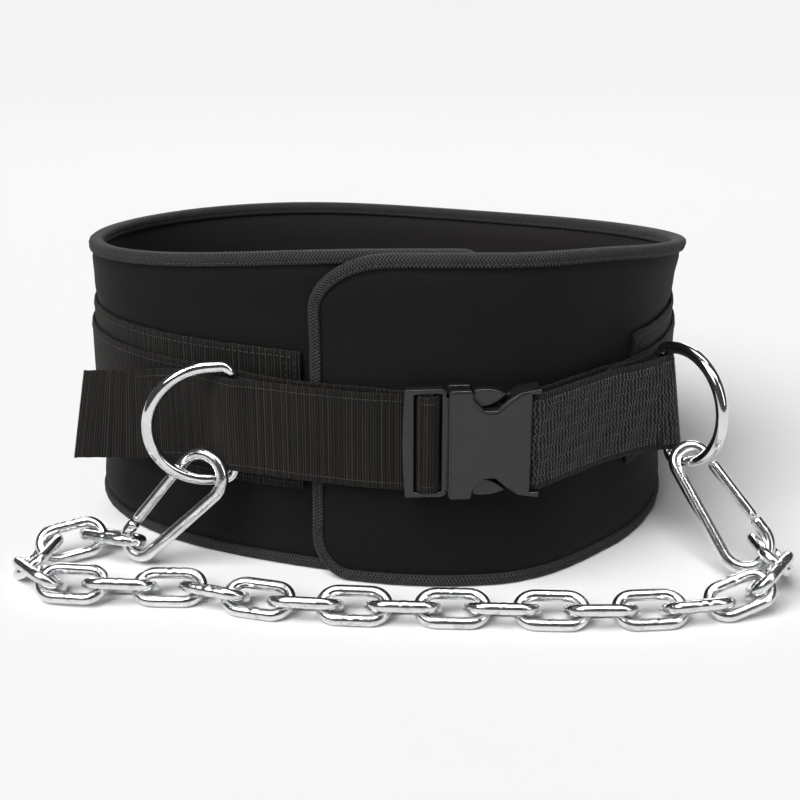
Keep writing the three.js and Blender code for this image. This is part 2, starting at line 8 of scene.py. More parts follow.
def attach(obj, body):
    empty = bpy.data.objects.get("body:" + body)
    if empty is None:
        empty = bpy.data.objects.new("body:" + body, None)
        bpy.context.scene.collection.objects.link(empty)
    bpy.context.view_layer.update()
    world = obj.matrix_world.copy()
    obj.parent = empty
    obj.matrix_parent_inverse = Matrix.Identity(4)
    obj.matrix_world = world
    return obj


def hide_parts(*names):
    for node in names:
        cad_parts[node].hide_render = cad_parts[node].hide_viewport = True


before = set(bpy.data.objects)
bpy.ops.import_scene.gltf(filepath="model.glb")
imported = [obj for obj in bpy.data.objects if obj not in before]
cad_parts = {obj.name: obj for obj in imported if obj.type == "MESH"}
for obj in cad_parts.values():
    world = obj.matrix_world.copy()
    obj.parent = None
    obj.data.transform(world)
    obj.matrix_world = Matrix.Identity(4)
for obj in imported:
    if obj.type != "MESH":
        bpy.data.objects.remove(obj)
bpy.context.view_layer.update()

bl_info = {
    "name": "Dip belt",
    "version": (1, 0, 0),
    "blender": (4, 5, 0),
    "location": "3D View > Sidebar > Dip belt",
    "description": "Dresses the solids of a dip belt with cloth, stitching, plastic and plated steel",
    "category": "Object",
}

# Sizes in millimetres, as in the part's source. The loop is drawn about its own middle
# and then moved to the frame. The loop's and the rim's waves are shares of their sizes, fitted to
# points read off the photograph.
SHIFT = np.array([-1.1498, 38.2674, 0.0])
LOOP_HALF = (159.0, 128.0)
LOOP_SQUARENESS = 1.96
LOOP_SHAPE = ((-0.016, -0.078), (-0.002, -0.002), (-0.038, 0.007), (-0.005, 0.015))
RIM_HEIGHT = 146.0
RIM_SHAPE = ((-0.01, -0.106), (-0.023, -0.022))
RIM_FLARE = (0.01, 0.019, 0.01, 0.009)
FLARE_LOW = 0.4
WAIST_IN = 2.6
BAND_THICK = 6.5
FLAP_EDGE = 252.6
UNDER_EDGE = 646.0
LAP_START = 289.0
LAP_END = 315.0
LAP_OUT = 8.1
FLAP_TOP = (40.0, 27.0)
FLAP_LOW = (20.0, 24.0)
UNDER_CORNER = (10.0, 10.0)
TAPE_WIDE = 6.0
GAP = 0.3
WIDE_TALL = 71.0
WIDE_THICK = 1.7
WIDE_FROM = 321.0
WIDE_TO = 610.0
STRAP_TALL = 47.6
STRAP_THICK = 1.5
STRAP_MID = 77.5
WIDE_LOW = STRAP_MID - WIDE_TALL / 2 - 2
WIDE_TOP = STRAP_MID + WIDE_TALL / 2 + 2
STRAP_ON = GAP + WIDE_THICK + GAP + STRAP_THICK / 2
RING_WIRE = 6.0
RING_INSIDE = 51.5
RING_DEPTH = 41.0
RING_ARM = 11.0
SNAP_LONG = 74.0
SNAP_WIRE = 6.3
SNAP_NARROW = 8.0
SNAP_WIDE = 11.5
GATE_WIRE = 5.4
GATE_FROM = 0.1
GATE_TO = 0.84
LINK_WIRE = 5.6
LINK_INSIDE = 25.4
LINK_WIDE = 10.4
LINK_ROLL = 29.0
SHELL_THICK = 12.0
BUCKLE_LONG = 64.8
BUCKLE_AT = 283.0
BUCKLE_TALL = 53.6
SHELL_FROM = 22.4
SHELL_TO = 60.5
CORNER_STEPS = 12
TURN = 2 * math.pi


def smooth(a, b, x):
    """A soft step from 0 at a to 1 at b."""
    k = np.clip((np.asarray(x, float) - a) / (b - a), 0, 1)
    return k * k * (3 - 2 * k)


def unit(v):
    """Vectors made one long."""
    v = np.asarray(v, float)
    return v / np.linalg.norm(v, axis=-1, keepdims=True)


def lengths_along(points):
    """The length of a line up to each of its points."""
    return np.concatenate([[0], np.cumsum(np.linalg.norm(np.diff(points, axis=0), axis=1))])


def waves(t, shape):
    """1 with a few waves round the loop added to it."""
    share = 1
    for k, (p, q) in enumerate(shape, 1):
        share = share + p * np.cos(k * t) + q * np.sin(k * t)
    return share


def plan(deg):
    """Points of the waist loop and their outward directions, both level."""
    def at(a):
        c, s = np.cos(a), np.sin(a)
        n = LOOP_SQUARENESS
        r = (np.abs(c / LOOP_HALF[0]) ** n + np.abs(s / LOOP_HALF[1]) ** n) ** (-1 / n)
        r = r * waves(a, LOOP_SHAPE)
        return np.stack([r * c, r * s], -1)

    t = np.radians(np.asarray(deg, float))
    along = unit(at(t + 1e-3) - at(t - 1e-3))
    return at(t), np.stack([along[..., 1], -along[..., 0]], -1)


def rim(deg):
    """Height of the band's upper edge."""
    return RIM_HEIGHT * waves(np.radians(np.asarray(deg, float)), RIM_SHAPE)


def face(deg, z, w):
    """Points out from the band's face by w."""
    deg, z, w = np.broadcast_arrays(np.asarray(deg, float), np.asarray(z, float), np.asarray(w, float))
    p, out = plan(deg)
    t = np.radians(deg)
    flare = 0
    for k, share in enumerate(RIM_FLARE):
        flare = flare + share * np.cos(k * t)
    above = np.maximum(0, (z - WIDE_TOP) / (rim(deg) - WIDE_TOP))
    opened = flare * (FLARE_LOW * np.minimum(1, z / WIDE_TOP) + (1 - FLARE_LOW) * above * above)
    drawn = WAIST_IN * smooth(0, WIDE_LOW, z) * (1 - smooth(0, 1, above))
    xy = p * (1 + opened)[..., None] + out * (w - drawn)[..., None]
    return np.concatenate([xy, z[..., None]], -1)


def lap(deg):
    """How far the band stands out over its inner end."""
    return LAP_OUT * (1 - smooth(LAP_START, LAP_END, deg))


ANGLES = np.arange(FLAP_EDGE, UNDER_EDGE + 5, 0.5)
LENGTHS = lengths_along(plan(ANGLES)[0])
BAND_LONG = float(np.interp(UNDER_EDGE, ANGLES, LENGTHS))


def angle_at(a):
    """The angle round the loop at a length from the flap's edge."""
    return np.interp(np.clip(a, 0, BAND_LONG), LENGTHS, ANGLES)


def on_band(a, z, w):
    """A point of the band laid flat, brought onto the loop."""
    deg = angle_at(a)
    return face(deg, z, lap(deg) + w)


def outline(step):
    """The band's edge laid flat, and where its lower and upper sides lie in the list."""
    pts = []

    def quarter(cx, cz, rx, rz, start):
        for k in range(CORNER_STEPS + 1):
            a = math.radians(start + 90 / CORNER_STEPS * k)
            pts.append((cx + rx * math.cos(a), cz + rz * math.sin(a)))

    def run(a0, a1, z):
        count = max(2, round(abs(a1 - a0) / step))
        for k in range(1, count):
            a = a0 + (a1 - a0) * k / count
            pts.append((a, z(a)))

    def climb(a, z0, z1):
        count = max(2, round(abs(z1 - z0) / step))
        pts.extend((a, z0 + (z1 - z0) * k / count) for k in range(1, count))

    def top(a):
        return float(rim(angle_at(a)))

    (fx, fz), (tx, tz), (ux, uz) = FLAP_LOW, FLAP_TOP, UNDER_CORNER
    quarter(fx, fz, fx, fz, 180)
    run(fx, BAND_LONG - ux, lambda a: 0.0)
    quarter(BAND_LONG - ux, uz, ux, uz, 270)
    low_end = len(pts)
    end_top = top(BAND_LONG - ux)
    climb(BAND_LONG, uz, end_top - uz)
    high_start = len(pts)
    quarter(BAND_LONG - ux, end_top - uz, ux, uz, 0)
    run(BAND_LONG - ux, tx, top)
    for k in range(CORNER_STEPS + 1):
        a = math.radians(90 + 90 / CORNER_STEPS * k)
        x = tx + tx * math.cos(a)
        pts.append((x, top(max(x, 0)) - tz + tz * math.sin(a)))
    high_end = len(pts)
    climb(0.0, pts[-1][1], fz)
    flat = np.array(pts)
    along = unit(np.roll(flat, -1, 0) - np.roll(flat, 1, 0))
    return flat, np.stack([-along[:, 1], along[:, 0]], -1), (low_end, high_start, high_end)


def placed(name, data):
    """A new object in the scene's collection."""
    obj = bpy.data.objects.new(name, data)
    bpy.context.collection.objects.link(obj)
    return obj


def collect(name, verts, faces, uvs=None):
    """A mesh object from points in millimetres and rings of vertex numbers."""
    verts = np.asarray(verts, float).reshape(-1, 3) + SHIFT
    mesh = bpy.data.meshes.new(name)
    mesh.from_pydata((verts / 1000).tolist(), [], [list(map(int, f)) for f in faces])
    if uvs is not None:
        layer = mesh.uv_layers.new(name="weave")
        uvs = np.asarray(uvs, float).reshape(-1, 2) / 1000
        index = np.empty(len(mesh.loops), int)
        mesh.loops.foreach_get("vertex_index", index)
        layer.data.foreach_set("uv", uvs[index].ravel())
    mesh.update()
    mesh.shade_smooth()
    return placed(name, mesh)


def from_bmesh(name, bm):
    """A smooth object from a bmesh, which is freed."""
    mesh = bpy.data.meshes.new(name)
    bm.to_mesh(mesh)
    bm.free()
    mesh.shade_smooth()
    return placed(name, mesh)


def skin(name, rings, closed, uvs=None):
    """A surface over rings of points. Each ring is a closed outline of its own."""
    rings = np.asarray(rings, float)
    count, n = rings.shape[:2]
    faces = []
    for i in range(count if closed else count - 1):
        a, b = i * n, ((i + 1) % count) * n
        for j in range(n):
            k = (j + 1) % n
            faces.append((a + j, a + k, b + k, b + j))
    if not closed:
        faces.append(tuple(range(n)))
        faces.append(tuple(reversed(range((count - 1) * n, count * n))))
    obj = collect(name, rings, faces, uvs)
    facing_out(obj)
    return obj


def facing_out(obj):
    """Turns every face outwards."""
    bm = bmesh.new()
    bm.from_mesh(obj.data)
    bmesh.ops.recalc_face_normals(bm, faces=bm.faces)
    bm.to_mesh(obj.data)
    bm.free()


def ribbon_uv(lengths, across):
    """Lengthwise and crosswise places of a grid of rings, for the weave."""
    return np.stack(np.meshgrid(lengths, across, indexing="ij"), -1)


def tube(name, path, radius, sides, closed, keep):
    """Round wire along a path. Radius may change from point to point."""
    path = np.asarray(path, float)
    radius = np.broadcast_to(np.asarray(radius, float), len(path))
    if closed:
        along = unit(np.roll(path, -1, 0) - np.roll(path, 1, 0))
    else:
        along = unit(np.gradient(path, axis=0))
    side = unit(keep - along * (along @ keep)[:, None])
    up = np.cross(along, side)
    a = 2 * np.pi * np.arange(sides) / sides
    ring = side[:, None] * np.cos(a)[None, :, None] + up[:, None] * np.sin(a)[None, :, None]
    rings = path[:, None] + ring * radius[:, None, None]
    return skin(name, rings, closed, ribbon_uv(lengths_along(path), a * float(radius.mean())))


def catmull(points, spacing):
    """A smooth curve through stations of any size. The first three numbers of each are its place."""
    pts = np.asarray(points, float)
    pts = np.concatenate([2 * pts[:1] - pts[1:2], pts, 2 * pts[-1:] - pts[-2:-1]])
    gaps = np.linalg.norm(np.diff(pts[:, :3], axis=0), axis=1)
    knots = np.concatenate([[0], np.cumsum(np.sqrt(gaps) + 1e-6)])
    out = []
    for i in range(1, len(pts) - 2):
        t0, t1, t2, t3 = knots[i - 1:i + 3]
        p0, p1, p2, p3 = pts[i - 1:i + 3]
        count = max(2, int(math.ceil(np.linalg.norm(p2[:3] - p1[:3]) / spacing)))
        for k in range(count):
            t = t1 + (t2 - t1) * k / count
            a1 = (t1 - t) / (t1 - t0) * p0 + (t - t0) / (t1 - t0) * p1
            a2 = (t2 - t) / (t2 - t1) * p1 + (t - t1) / (t2 - t1) * p2
            a3 = (t3 - t) / (t3 - t2) * p2 + (t - t2) / (t3 - t2) * p3
            b1 = (t2 - t) / (t2 - t0) * a1 + (t - t0) / (t2 - t0) * a2
            b2 = (t3 - t) / (t3 - t1) * a2 + (t - t1) / (t3 - t1) * a3
            out.append((t2 - t) / (t2 - t1) * b1 + (t - t1) / (t2 - t1) * b2)
    out.append(pts[-2])
    return np.array(out)


class Value:
    """A socket's value, with arithmetic that adds Math nodes."""

    def __init__(self, look, socket):
        self.look = look
        self.socket = socket

    def math(self, operation, *others):
        inputs = {i: v for i, v in enumerate((self,) + others)}
        return self.look.add("ShaderNodeMath", {"operation": operation}, inputs)

    def __add__(self, other):
        return self.math("ADD", other)

    __radd__ = __add__

    def __sub__(self, other):
        return self.math("SUBTRACT", other)

    def __rsub__(self, other):
        return self.look.add("ShaderNodeMath", {"operation": "SUBTRACT"}, {0: other, 1: self})

    def __mul__(self, other):
        return self.math("MULTIPLY", other)

    __rmul__ = __mul__

    def __truediv__(self, other):
        return self.math("DIVIDE", other)

    def sin(self):
        return self.math("SINE")

    def fract(self):
        return self.math("FRACT")

    def floor(self):
        return self.math("FLOOR")

    def abs(self):
        return self.math("ABSOLUTE")

    def power(self, other):
        return self.math("POWER", other)

    def between(self, low, high):
        """0 below low, 1 above high, soft between."""
        settings = {"interpolation_type": "SMOOTHSTEP"}
        return self.look.add("ShaderNodeMapRange", settings, {0: self, 1: low, 2: high, 3: 0.0, 4: 1.0})


class Look:
    """A material built from nodes."""

    def __init__(self, name, **constants):
        self.material = bpy.data.materials.new(name)
        self.material.use_nodes = True
        self.tree = self.material.node_tree
        self.shader = next(n for n in self.tree.nodes if n.type == "BSDF_PRINCIPLED")
        for socket, value in constants.items():
            self.shader.inputs[socket.replace("_", " ")].default_value = value

    def add(self, kind, settings=None, inputs=None, output=0):
        """One node: its settings first, then the values or links of its sockets."""
        node = self.tree.nodes.new(kind)
        for key, value in (settings or {}).items():
            if key == "stops":
                self.fill_ramp(node.color_ramp, value)
            else:
                setattr(node, key, value)
        for key, value in (inputs or {}).items():
            if isinstance(value, Value):
                self.tree.links.new(value.socket, node.inputs[key])
            else:
                node.inputs[key].default_value = value
        return Value(self, node.outputs[output])

    @staticmethod
    def fill_ramp(ramp, stops):
        while len(ramp.elements) < len(stops):
            ramp.elements.new(0.5)
        for element, (place, colour) in zip(ramp.elements, stops):
            element.position = place
            element.color = colour

    def feed(self, socket, value):
        self.tree.links.new(value.socket, self.shader.inputs[socket])

    def weave(self):
        """Lengthwise and crosswise place on the cloth, in millimetres."""
        uv = self.add("ShaderNodeUVMap", {"uv_map": "weave"})
        split = self.add("ShaderNodeSeparateXYZ", None, {0: uv})
        u = Value(self, split.socket.node.outputs[0])
        v = Value(self, split.socket.node.outputs[1])
        return u * 1000, v * 1000

    def place(self):
        return self.add("ShaderNodeTexCoord", None, None, 3)

    def noise(self, scale, detail=3.0, rough=0.55, where=None):
        inputs = {"Vector": where or self.place(), "Scale": scale, "Detail": detail, "Roughness": rough}
        return self.add("ShaderNodeTexNoise", None, inputs)

    def stripes(self, where, detail):
        """Noise along one direction only."""
        inputs = {"W": where, "Scale": 1.0, "Detail": detail}
        return self.add("ShaderNodeTexNoise", {"noise_dimensions": "1D"}, inputs)

    def mix(self, factor, low, high):
        """A colour between two."""
        inputs = {0: factor, 6: low, 7: high}
        return self.add("ShaderNodeMix", {"data_type": "RGBA"}, inputs, 2)

    def bump(self, height, distance, strength=1.0):
        inputs = {"Height": height, "Distance": distance / 1000, "Strength": strength}
        self.feed("Normal", self.add("ShaderNodeBump", None, inputs))


def rgb(colour, k=1.0):
    """A colour made lighter or darker, with its alpha."""
    return (colour[0] * k, colour[1] * k, colour[2] * k, 1.0)


def face_cloth(colour):
    """Smooth knitted face of the foam band: very fine stitches, soft creases, lint."""
    look = Look("face_cloth", Sheen_Weight=0.03, Sheen_Roughness=0.4, Specular_IOR_Level=0.12)
    u, v = look.weave()
    knit = (u * (TURN / 0.9)).sin() * (v * (TURN / 0.8)).sin()
    soft = look.noise(9.0, 4.0)
    lint = look.noise(900.0, 2.0, 0.7).between(0.66, 0.78)
    tone = soft * 0.7 + knit * 0.06 + 0.15
    outer = look.mix(tone + lint * 0.5, rgb(colour, 0.72), rgb(colour, 1.5))
    lining = look.mix(tone + lint * 0.5, rgb(colour, 1.5), rgb(colour, 3.2))
    look.feed("Base Color", look.mix(v.between(220, 230), outer, lining))
    look.feed("Roughness", 0.66 + soft * 0.22)
    look.bump(knit * 0.35 + look.noise(420.0, 3.0) * 0.8 + soft * 1.5, 0.18, 0.5)
    return look.material


def tape_cloth(colour, pitch):
    """Herringbone tape: slanting ribs that turn about the tape's middle, their shade and highlight painted
    into the colour.
    """
    look = Look("tape_cloth", Sheen_Weight=0.02, Sheen_Roughness=0.4, Specular_IOR_Level=0.25)
    u, v = look.weave()
    zig = (v / 3.1).fract() - 0.5
    rib = ((u + zig.abs() * 3.1) * (TURN / pitch)).sin() * 0.5 + 0.5
    thread = ((u - v) * (TURN / 0.55)).sin() * 0.5 + 0.5
    fuzz = look.noise(700.0, 2.0)
    height = rib * 0.8 + thread * 0.15 + fuzz * 0.25
    # Painted shade and highlight: the colour is dark in the rib grooves and light on the rib crests, with
    # random patches over it.
    tone = height.power(2.2) * (0.55 + look.noise(140.0, 3.0) * 0.9)
    look.feed("Base Color", look.mix(tone, rgb(colour, 0.1), rgb(colour, 4.6)))
    look.feed("Roughness", 0.9 - rib * 0.22)
    look.bump(height, 0.42, 0.9)
    return look.material


def strap_cloth(name, colour, pitch, warm):
    """Heavy webbing: ribs across the strap, each a row of crossing threads, their shade and highlight painted
    into the colour.
    """
    look = Look(name, Sheen_Weight=0.015, Sheen_Roughness=0.4, Specular_IOR_Level=0.25)
    u, v = look.weave()
    wander = look.noise(38.0, 3.0) - 0.5
    line = u + wander * 0.7
    rib = (line * (TURN / pitch)).sin() * 0.5 + 0.5
    row = (line / pitch).floor()
    step = ((v / 1.15 + row * 0.5) * TURN).sin() * 0.5 + 0.5
    fibre = ((v + wander * 2) * (TURN / 0.31)).sin() * 0.5 + 0.5
    patch = look.noise(22.0, 3.0)
    streak = look.stripes(line * 0.55, 4.0)
    height = rib * 0.75 + step * rib * 0.3 + fibre * 0.08
    # Painted shade and highlight: the colour follows the rib height, dark in the grooves and light on the
    # crests, with random streaks and patches over it.
    tone = height * (0.35 + streak.between(0.35, 0.68) * 0.75) + (patch - 0.5) * 0.5
    high = tuple(c * k for c, k in zip(colour, (3.7 * warm, 3.6, 3.3)))
    look.feed("Base Color", look.mix(tone.math("MAXIMUM", 0.0).power(1.7), rgb(colour, 0.15), rgb(high)))
    look.feed("Roughness", 0.82 - rib * 0.22 + patch * 0.06)
    look.bump(height + look.noise(600.0, 2.0) * 0.18, 0.5, 0.95)
    return look.material


def thread_look(colour, name="sewing_thread"):
    """Twisted sewing thread with a slight shine."""
    look = Look(name, Roughness=0.5, Specular_IOR_Level=0.5)
    twist = look.noise(2600.0, 1.0)
    look.feed("Base Color", look.mix(twist, rgb(colour, 0.8), rgb(colour, 2.4)))
    look.bump(twist, 0.08, 0.8)
    return look.material


def sealed_end(colour):
    """The loose end's threads, melted together."""
    look = Look("sealed_end", Specular_IOR_Level=0.5)
    lumps = look.noise(500.0, 3.0)
    look.feed("Base Color", look.mix(lumps, rgb(colour, 0.3), rgb(colour, 1.2)))
    look.feed("Roughness", 0.3 + lumps * 0.3)
    look.bump(lumps, 0.4, 0.9)
    return look.material


def moulded_plastic(colour):
    """Satin moulded plastic: fine spark texture, scuffs and handling sheen."""
    look = Look("moulded_plastic", Specular_IOR_Level=0.5)
    spark = look.noise(1500.0, 2.0)
    cloud = look.noise(26.0, 4.0)
    stretch = look.add("ShaderNodeMapping", None, {"Vector": look.place(), "Scale": (90.0, 90.0, 1400.0)})
    scuff = look.noise(1.0, 2.0, 0.6, stretch).between(0.66, 0.8)
    look.feed("Base Color", look.mix(cloud * 0.6 + scuff * 0.25, rgb(colour, 0.85), rgb(colour, 1.5)))
    look.feed("Roughness", 0.16 + cloud * 0.16 + spark * 0.05 - scuff * 0.04)
    look.bump(spark * 0.4 + scuff * 0.3, 0.03, 0.4)
    return look.material


def plated_steel(name, colour, low, high, grain):
    """Plated steel: bright, with the drawn wire's faint lines, clouding and tiny pits."""
    look = Look(name, Metallic=1.0)
    _, v = look.weave()
    cloud = look.noise(70.0, 4.0)
    pits = look.noise(1300.0, 2.0, 0.7).between(0.62, 0.76)
    drawn = look.stripes(v * 3.1, 3.0)
    tarnish = look.noise(240.0, 4.0, 0.65).between(0.46, 0.7) * (0.75 * grain)
    tone = cloud * 0.5 + pits * 0.4 + tarnish
    look.feed("Base Color", look.mix(tone, rgb(colour), rgb(colour, 0.5)))
    look.feed("Roughness", low + (high - low) * (cloud * 0.8 + pits * 0.7) + drawn * (0.1 * grain))
    look.bump(cloud * 2.2 + tarnish * 0.5 + drawn * (0.4 * grain) - pits * 0.6, 0.12, 0.7 * grain)
    return look.material


def dress(obj, material, slot, *nodes, body="belt"):
    """Gives a piece its finish and its body, and hides the solids that it stands for."""
    obj.data.materials.clear()
    obj.data.materials.append(material)
    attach(obj, body)
    if nodes:
        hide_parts(*nodes)
    return obj


# A stitch from end to end: how far along it, how thick, and how far out of the cloth.
STITCH_SHAPE = ((0, 0.25, -0.75), (0.12, 0.8, -0.15), (0.5, 1.0, 0.15), (0.88, 0.8, -0.15), (1, 0.25, -0.75))
STITCH_SIDES = 6


def place_at(s, run, points):
    """The point of a line at a length along it."""
    return np.array([np.interp(s, run, points[:, i]) for i in range(3)])


def sewn_lines(name, lines, thick, long, pitch):
    """Rows of stitches, each a small pillow. A line is its points and the cloth's outward directions."""
    angles = 2 * np.pi * np.arange(STITCH_SIDES) / STITCH_SIDES
    last = STITCH_SIDES * (len(STITCH_SHAPE) - 1)
    verts, faces = [], []
    for points, normals in lines:
        points, normals = np.asarray(points, float), np.asarray(normals, float)
        run = lengths_along(points)
        count = int(run[-1] // pitch)
        for k in range(count):
            middle = (k + 0.5) * pitch + (run[-1] - count * pitch) / 2
            start = place_at(middle - long / 2, run, points)
            reach = place_at(middle + long / 2, run, points) - start
            normal = unit(place_at(middle, run, normals))
            side = np.cross(unit(reach + 1e-9), normal)
            base = len(verts)
            for share, grow, sink in STITCH_SHAPE:
                mid = start + reach * share + normal * thick * sink
                for a in angles:
                    level, high = thick * grow * math.cos(a), thick * grow * math.sin(a)
                    verts.append(mid + side * level + normal * high)
            for i in range(0, last, STITCH_SIDES):
                for j in range(STITCH_SIDES):
                    p, q = base + i + j, base + i + (j + 1) % STITCH_SIDES
                    faces.append((p, q, q + STITCH_SIDES, p + STITCH_SIDES))
            faces.append(tuple(base + j for j in reversed(range(STITCH_SIDES))))
            faces.append(tuple(base + last + j for j in range(STITCH_SIDES)))
    obj = collect(name, verts, faces)
    facing_out(obj)
    return obj


def belt_seam(name, lines, cloth, share, slot):
    """Rows of the belt's own stitches. Share is how much of the pitch a stitch fills."""
    pitch = cloth.stitch_pitch * 1000
    seam = sewn_lines(name, lines, cloth.thread_radius * 1000, pitch * share, pitch)
    dress(seam, thread_look(cloth.thread_colour), slot)


def cloth_rows(half, edge, inner, count):
    """Heights across a strip of webbing, close together at its two edges."""
    middle = np.linspace(-half + inner, half - inner, count)
    return np.concatenate([[step - half for step in edge], middle, [half - step for step in reversed(edge)]])


def out_of_band(deg):
    """The level direction out of the band."""
    out = plan(deg)[1]
    return np.concatenate([out, np.zeros(out.shape[:-1] + (1,))], -1)


def colour_setting(name, description, default):
    return bpy.props.FloatVectorProperty(
        name=name, description=description, subtype="COLOR", size=3, default=default, min=0, max=1)


def length_setting(name, description, default, low, high):
    return bpy.props.FloatProperty(
        name=name, description=description, default=default, min=low, max=high, precision=5, unit="LENGTH")


class ClothSettings(bpy.types.PropertyGroup):
    """Colours, weave and stitching of the sewn pieces."""

    face_colour: colour_setting(
        "Face cloth", "Colour of the padded band's cloth", (0.0064, 0.0059, 0.0056))
    tape_colour: colour_setting(
        "Binding tape", "Colour of the tape on the band's edge", (0.0118, 0.0112, 0.0114))
    strap_colour: colour_setting(
        "Webbing", "Colour of the strap and the wide webbing", (0.0092, 0.0081, 0.0070))
    thread_colour: colour_setting(
        "Thread", "Colour of the stitches", (0.012, 0.0115, 0.011))
    tape_pitch: length_setting(
        "Tape rib", "Pitch of the tape's slanting ribs", 0.0017, 0.0004, 0.004)
    wide_pitch: length_setting(
        "Wide webbing rib", "Pitch of the wide webbing's ribs", 0.0016, 0.0005, 0.004)
    strap_pitch: length_setting(
        "Strap rib", "Pitch of the strap's ribs", 0.0013, 0.0005, 0.004)
    stitch_pitch: length_setting(
        "Stitch", "Length of one stitch with its gap", 0.0032, 0.0015, 0.008)
    thread_radius: length_setting(
        "Thread radius", "Radius of the sewing thread", 0.0003, 0.0001, 0.0006)
    band_pinch: length_setting(
        "Band pinch", "How deep the foam is drawn in beside the binding", 0.00115, 0.0, 0.002)


class HardwareSettings(bpy.types.PropertyGroup):
    """Edges, welds and colours of the plastic and the metal."""

    socket_round: length_setting(
        "Socket edge", "Rounding of the socket half's edges", 0.00065, 0.0002, 0.0007)
    prong_round: length_setting(
        "Prong edge", "Rounding of the prong half's edges", 0.00075, 0.0002, 0.0008)
    weld: bpy.props.FloatProperty(
        name="Weld", description="Swelling of each link's weld as a share of the wire", subtype="FACTOR",
        default=0.055, min=0.0, max=0.1)
    plastic_colour: colour_setting(
        "Buckle", "Colour of the moulded buckle", (0.0125, 0.0122, 0.0116))
    chrome_colour: colour_setting(
        "Rings", "Colour of the rings' plating", (0.86, 0.86, 0.87))
    zinc_colour: colour_setting(
        "Chain", "Colour of the plating of chain and carabiners", (0.87, 0.88, 0.89))


class StageSettings(bpy.types.PropertyGroup):
    """Floor and light."""

    floor_colour: colour_setting(
        "Floor", "Colour of the floor", (0.92, 0.92, 0.91))
    light_power: bpy.props.FloatProperty(
        name="Light", description="Strength of the studio lights", default=1.0, min=0.1, max=5)


class BELT_OT_band(bpy.types.Operator):
    """Makes the padded band: foam under a smooth face cloth, pinched where the tape is sewn on"""

    bl_idname = "belt.band"
    bl_label = "Padded band"

    def execute(self, context):
        flap_long, under_long = 42, 12
        flat, inward, (low_end, high_start, high_end) = outline(4.0)
        inset = flat + inward * (TAPE_WIDE - 2.5)
        low, high = inset[:low_end], inset[high_start:high_end][::-1]
        first, last = low[:, 0].min() + 0.05, low[:, 0].max() - 0.05
        core = np.arange(first + flap_long, last - under_long, 2.6)
        start = first + flap_long * (1 - np.cos(np.linspace(0, np.pi / 2, 18)))
        end = last - under_long * (1 - np.cos(np.linspace(0, np.pi / 2, 9)))[::-1]
        columns = np.unique(np.concatenate([start, core, end]).round(3))
        lo = np.interp(columns, low[:, 0], low[:, 1])
        hi = np.interp(columns, high[:, 0], high[:, 1])
        t = 0.5 - 0.5 * np.cos(np.linspace(0, np.pi, 44))
        t = 0.35 * t + 0.65 * np.linspace(0, 1, 44)
        z = lo[:, None] + (hi - lo)[:, None] * t
        a = np.broadcast_to(columns[:, None], z.shape)
        near_side = np.minimum(z - lo[:, None], hi[:, None] - z)
        near = np.minimum(near_side, np.minimum(a - first, last - a) + 1.5)
        deep = context.scene.belt_cloth.band_pinch * 1000
        pinch = deep * np.exp(-((near - 2.5) / 3.2) ** 2)
        deg = angle_at(a)
        sewn = smooth(WIDE_FROM - 6, WIDE_FROM + 6, deg) * (1 - smooth(WIDE_TO - 6, WIDE_TO + 4, deg))
        beside = np.exp(-((z - WIDE_TOP - 5) / 6) ** 2) + np.exp(-((z - WIDE_LOW + 5) / 6) ** 2)
        wave = 0.3 * np.sin(a / 31 + z / 23) * np.sin(z / 17 - a / 53)
        wave = wave + 0.18 * np.sin(a / 12.5) * np.sin(z / 41)
        covered = smooth(WIDE_LOW - 2, WIDE_LOW + 6, z) * (1 - smooth(WIDE_TOP - 6, WIDE_TOP + 2, z))
        outer = on_band(a, z, -pinch + (wave + 0.7 * sewn * beside) * (1 - covered) - 0.15 * covered)
        inner = on_band(a, z, pinch * 0.8 - BAND_THICK + wave * 0.5)
        rings = np.concatenate([outer, inner[:, ::-1]], 1)
        across = np.concatenate([z, z[:, ::-1] + 300], 1)
        uv = np.stack([np.broadcast_to(columns[:, None], across.shape), across], -1)
        band = skin("band_padding", rings, False, uv)
        dress(band, face_cloth(context.scene.belt_cloth.face_colour), "neoprene", "padded_band")
        return {"FINISHED"}


class BELT_OT_binding(bpy.types.Operator):
    """Makes the tape folded over the band's edge, with the stitches that hold it"""

    bl_idname = "belt.binding"
    bl_label = "Edge binding"

    def execute(self, context):
        cloth = context.scene.belt_cloth
        flat, inward, _ = outline(2.2)
        t = BAND_THICK
        over = [(6.0, -0.6), (5.95, 0.2), (5.6, 0.5), (4.9, 0.5), (4.3, 0.42), (3.4, 0.72), (2.2, 0.7),
                (1.1, 0.2), (0.35, -0.8), (0.0, -2.0)]
        profile = np.array(over + [(0.0, -t / 2)] + [(x, -t - w) for x, w in reversed(over)])
        run = lengths_along(flat)
        ripple = 0.1 * np.sin(run / 1.6) + 0.07 * np.sin(run / 4.1 + 1)
        at = flat[:, None] + inward[:, None] * profile[None, :, :1]
        swell = np.where(np.abs(profile[:, 1] + t / 2) > t / 2, np.sign(profile[:, 1] + t / 2), 0)
        w = profile[None, :, 1] + swell[None] * ripple[:, None]
        rings = on_band(at[..., 0], at[..., 1], w)
        rings[..., 2] = np.maximum(rings[..., 2], 0.02)
        tape = skin("binding_tape", rings, True, ribbon_uv(run, lengths_along(profile)))
        dress(tape, tape_cloth(cloth.tape_colour, cloth.tape_pitch * 1000), "binding_tape", "edge_binding")
        at = flat + inward * 4.6
        out = out_of_band(angle_at(at[:, 0]))
        lines = [(on_band(at[:, 0], at[:, 1], w), sign * out) for w, sign in ((0.5, 1), (-t - 0.5, -1))]
        belt_seam("binding_stitches", lines, cloth, 0.78, "binding_tape")
        return {"FINISHED"}


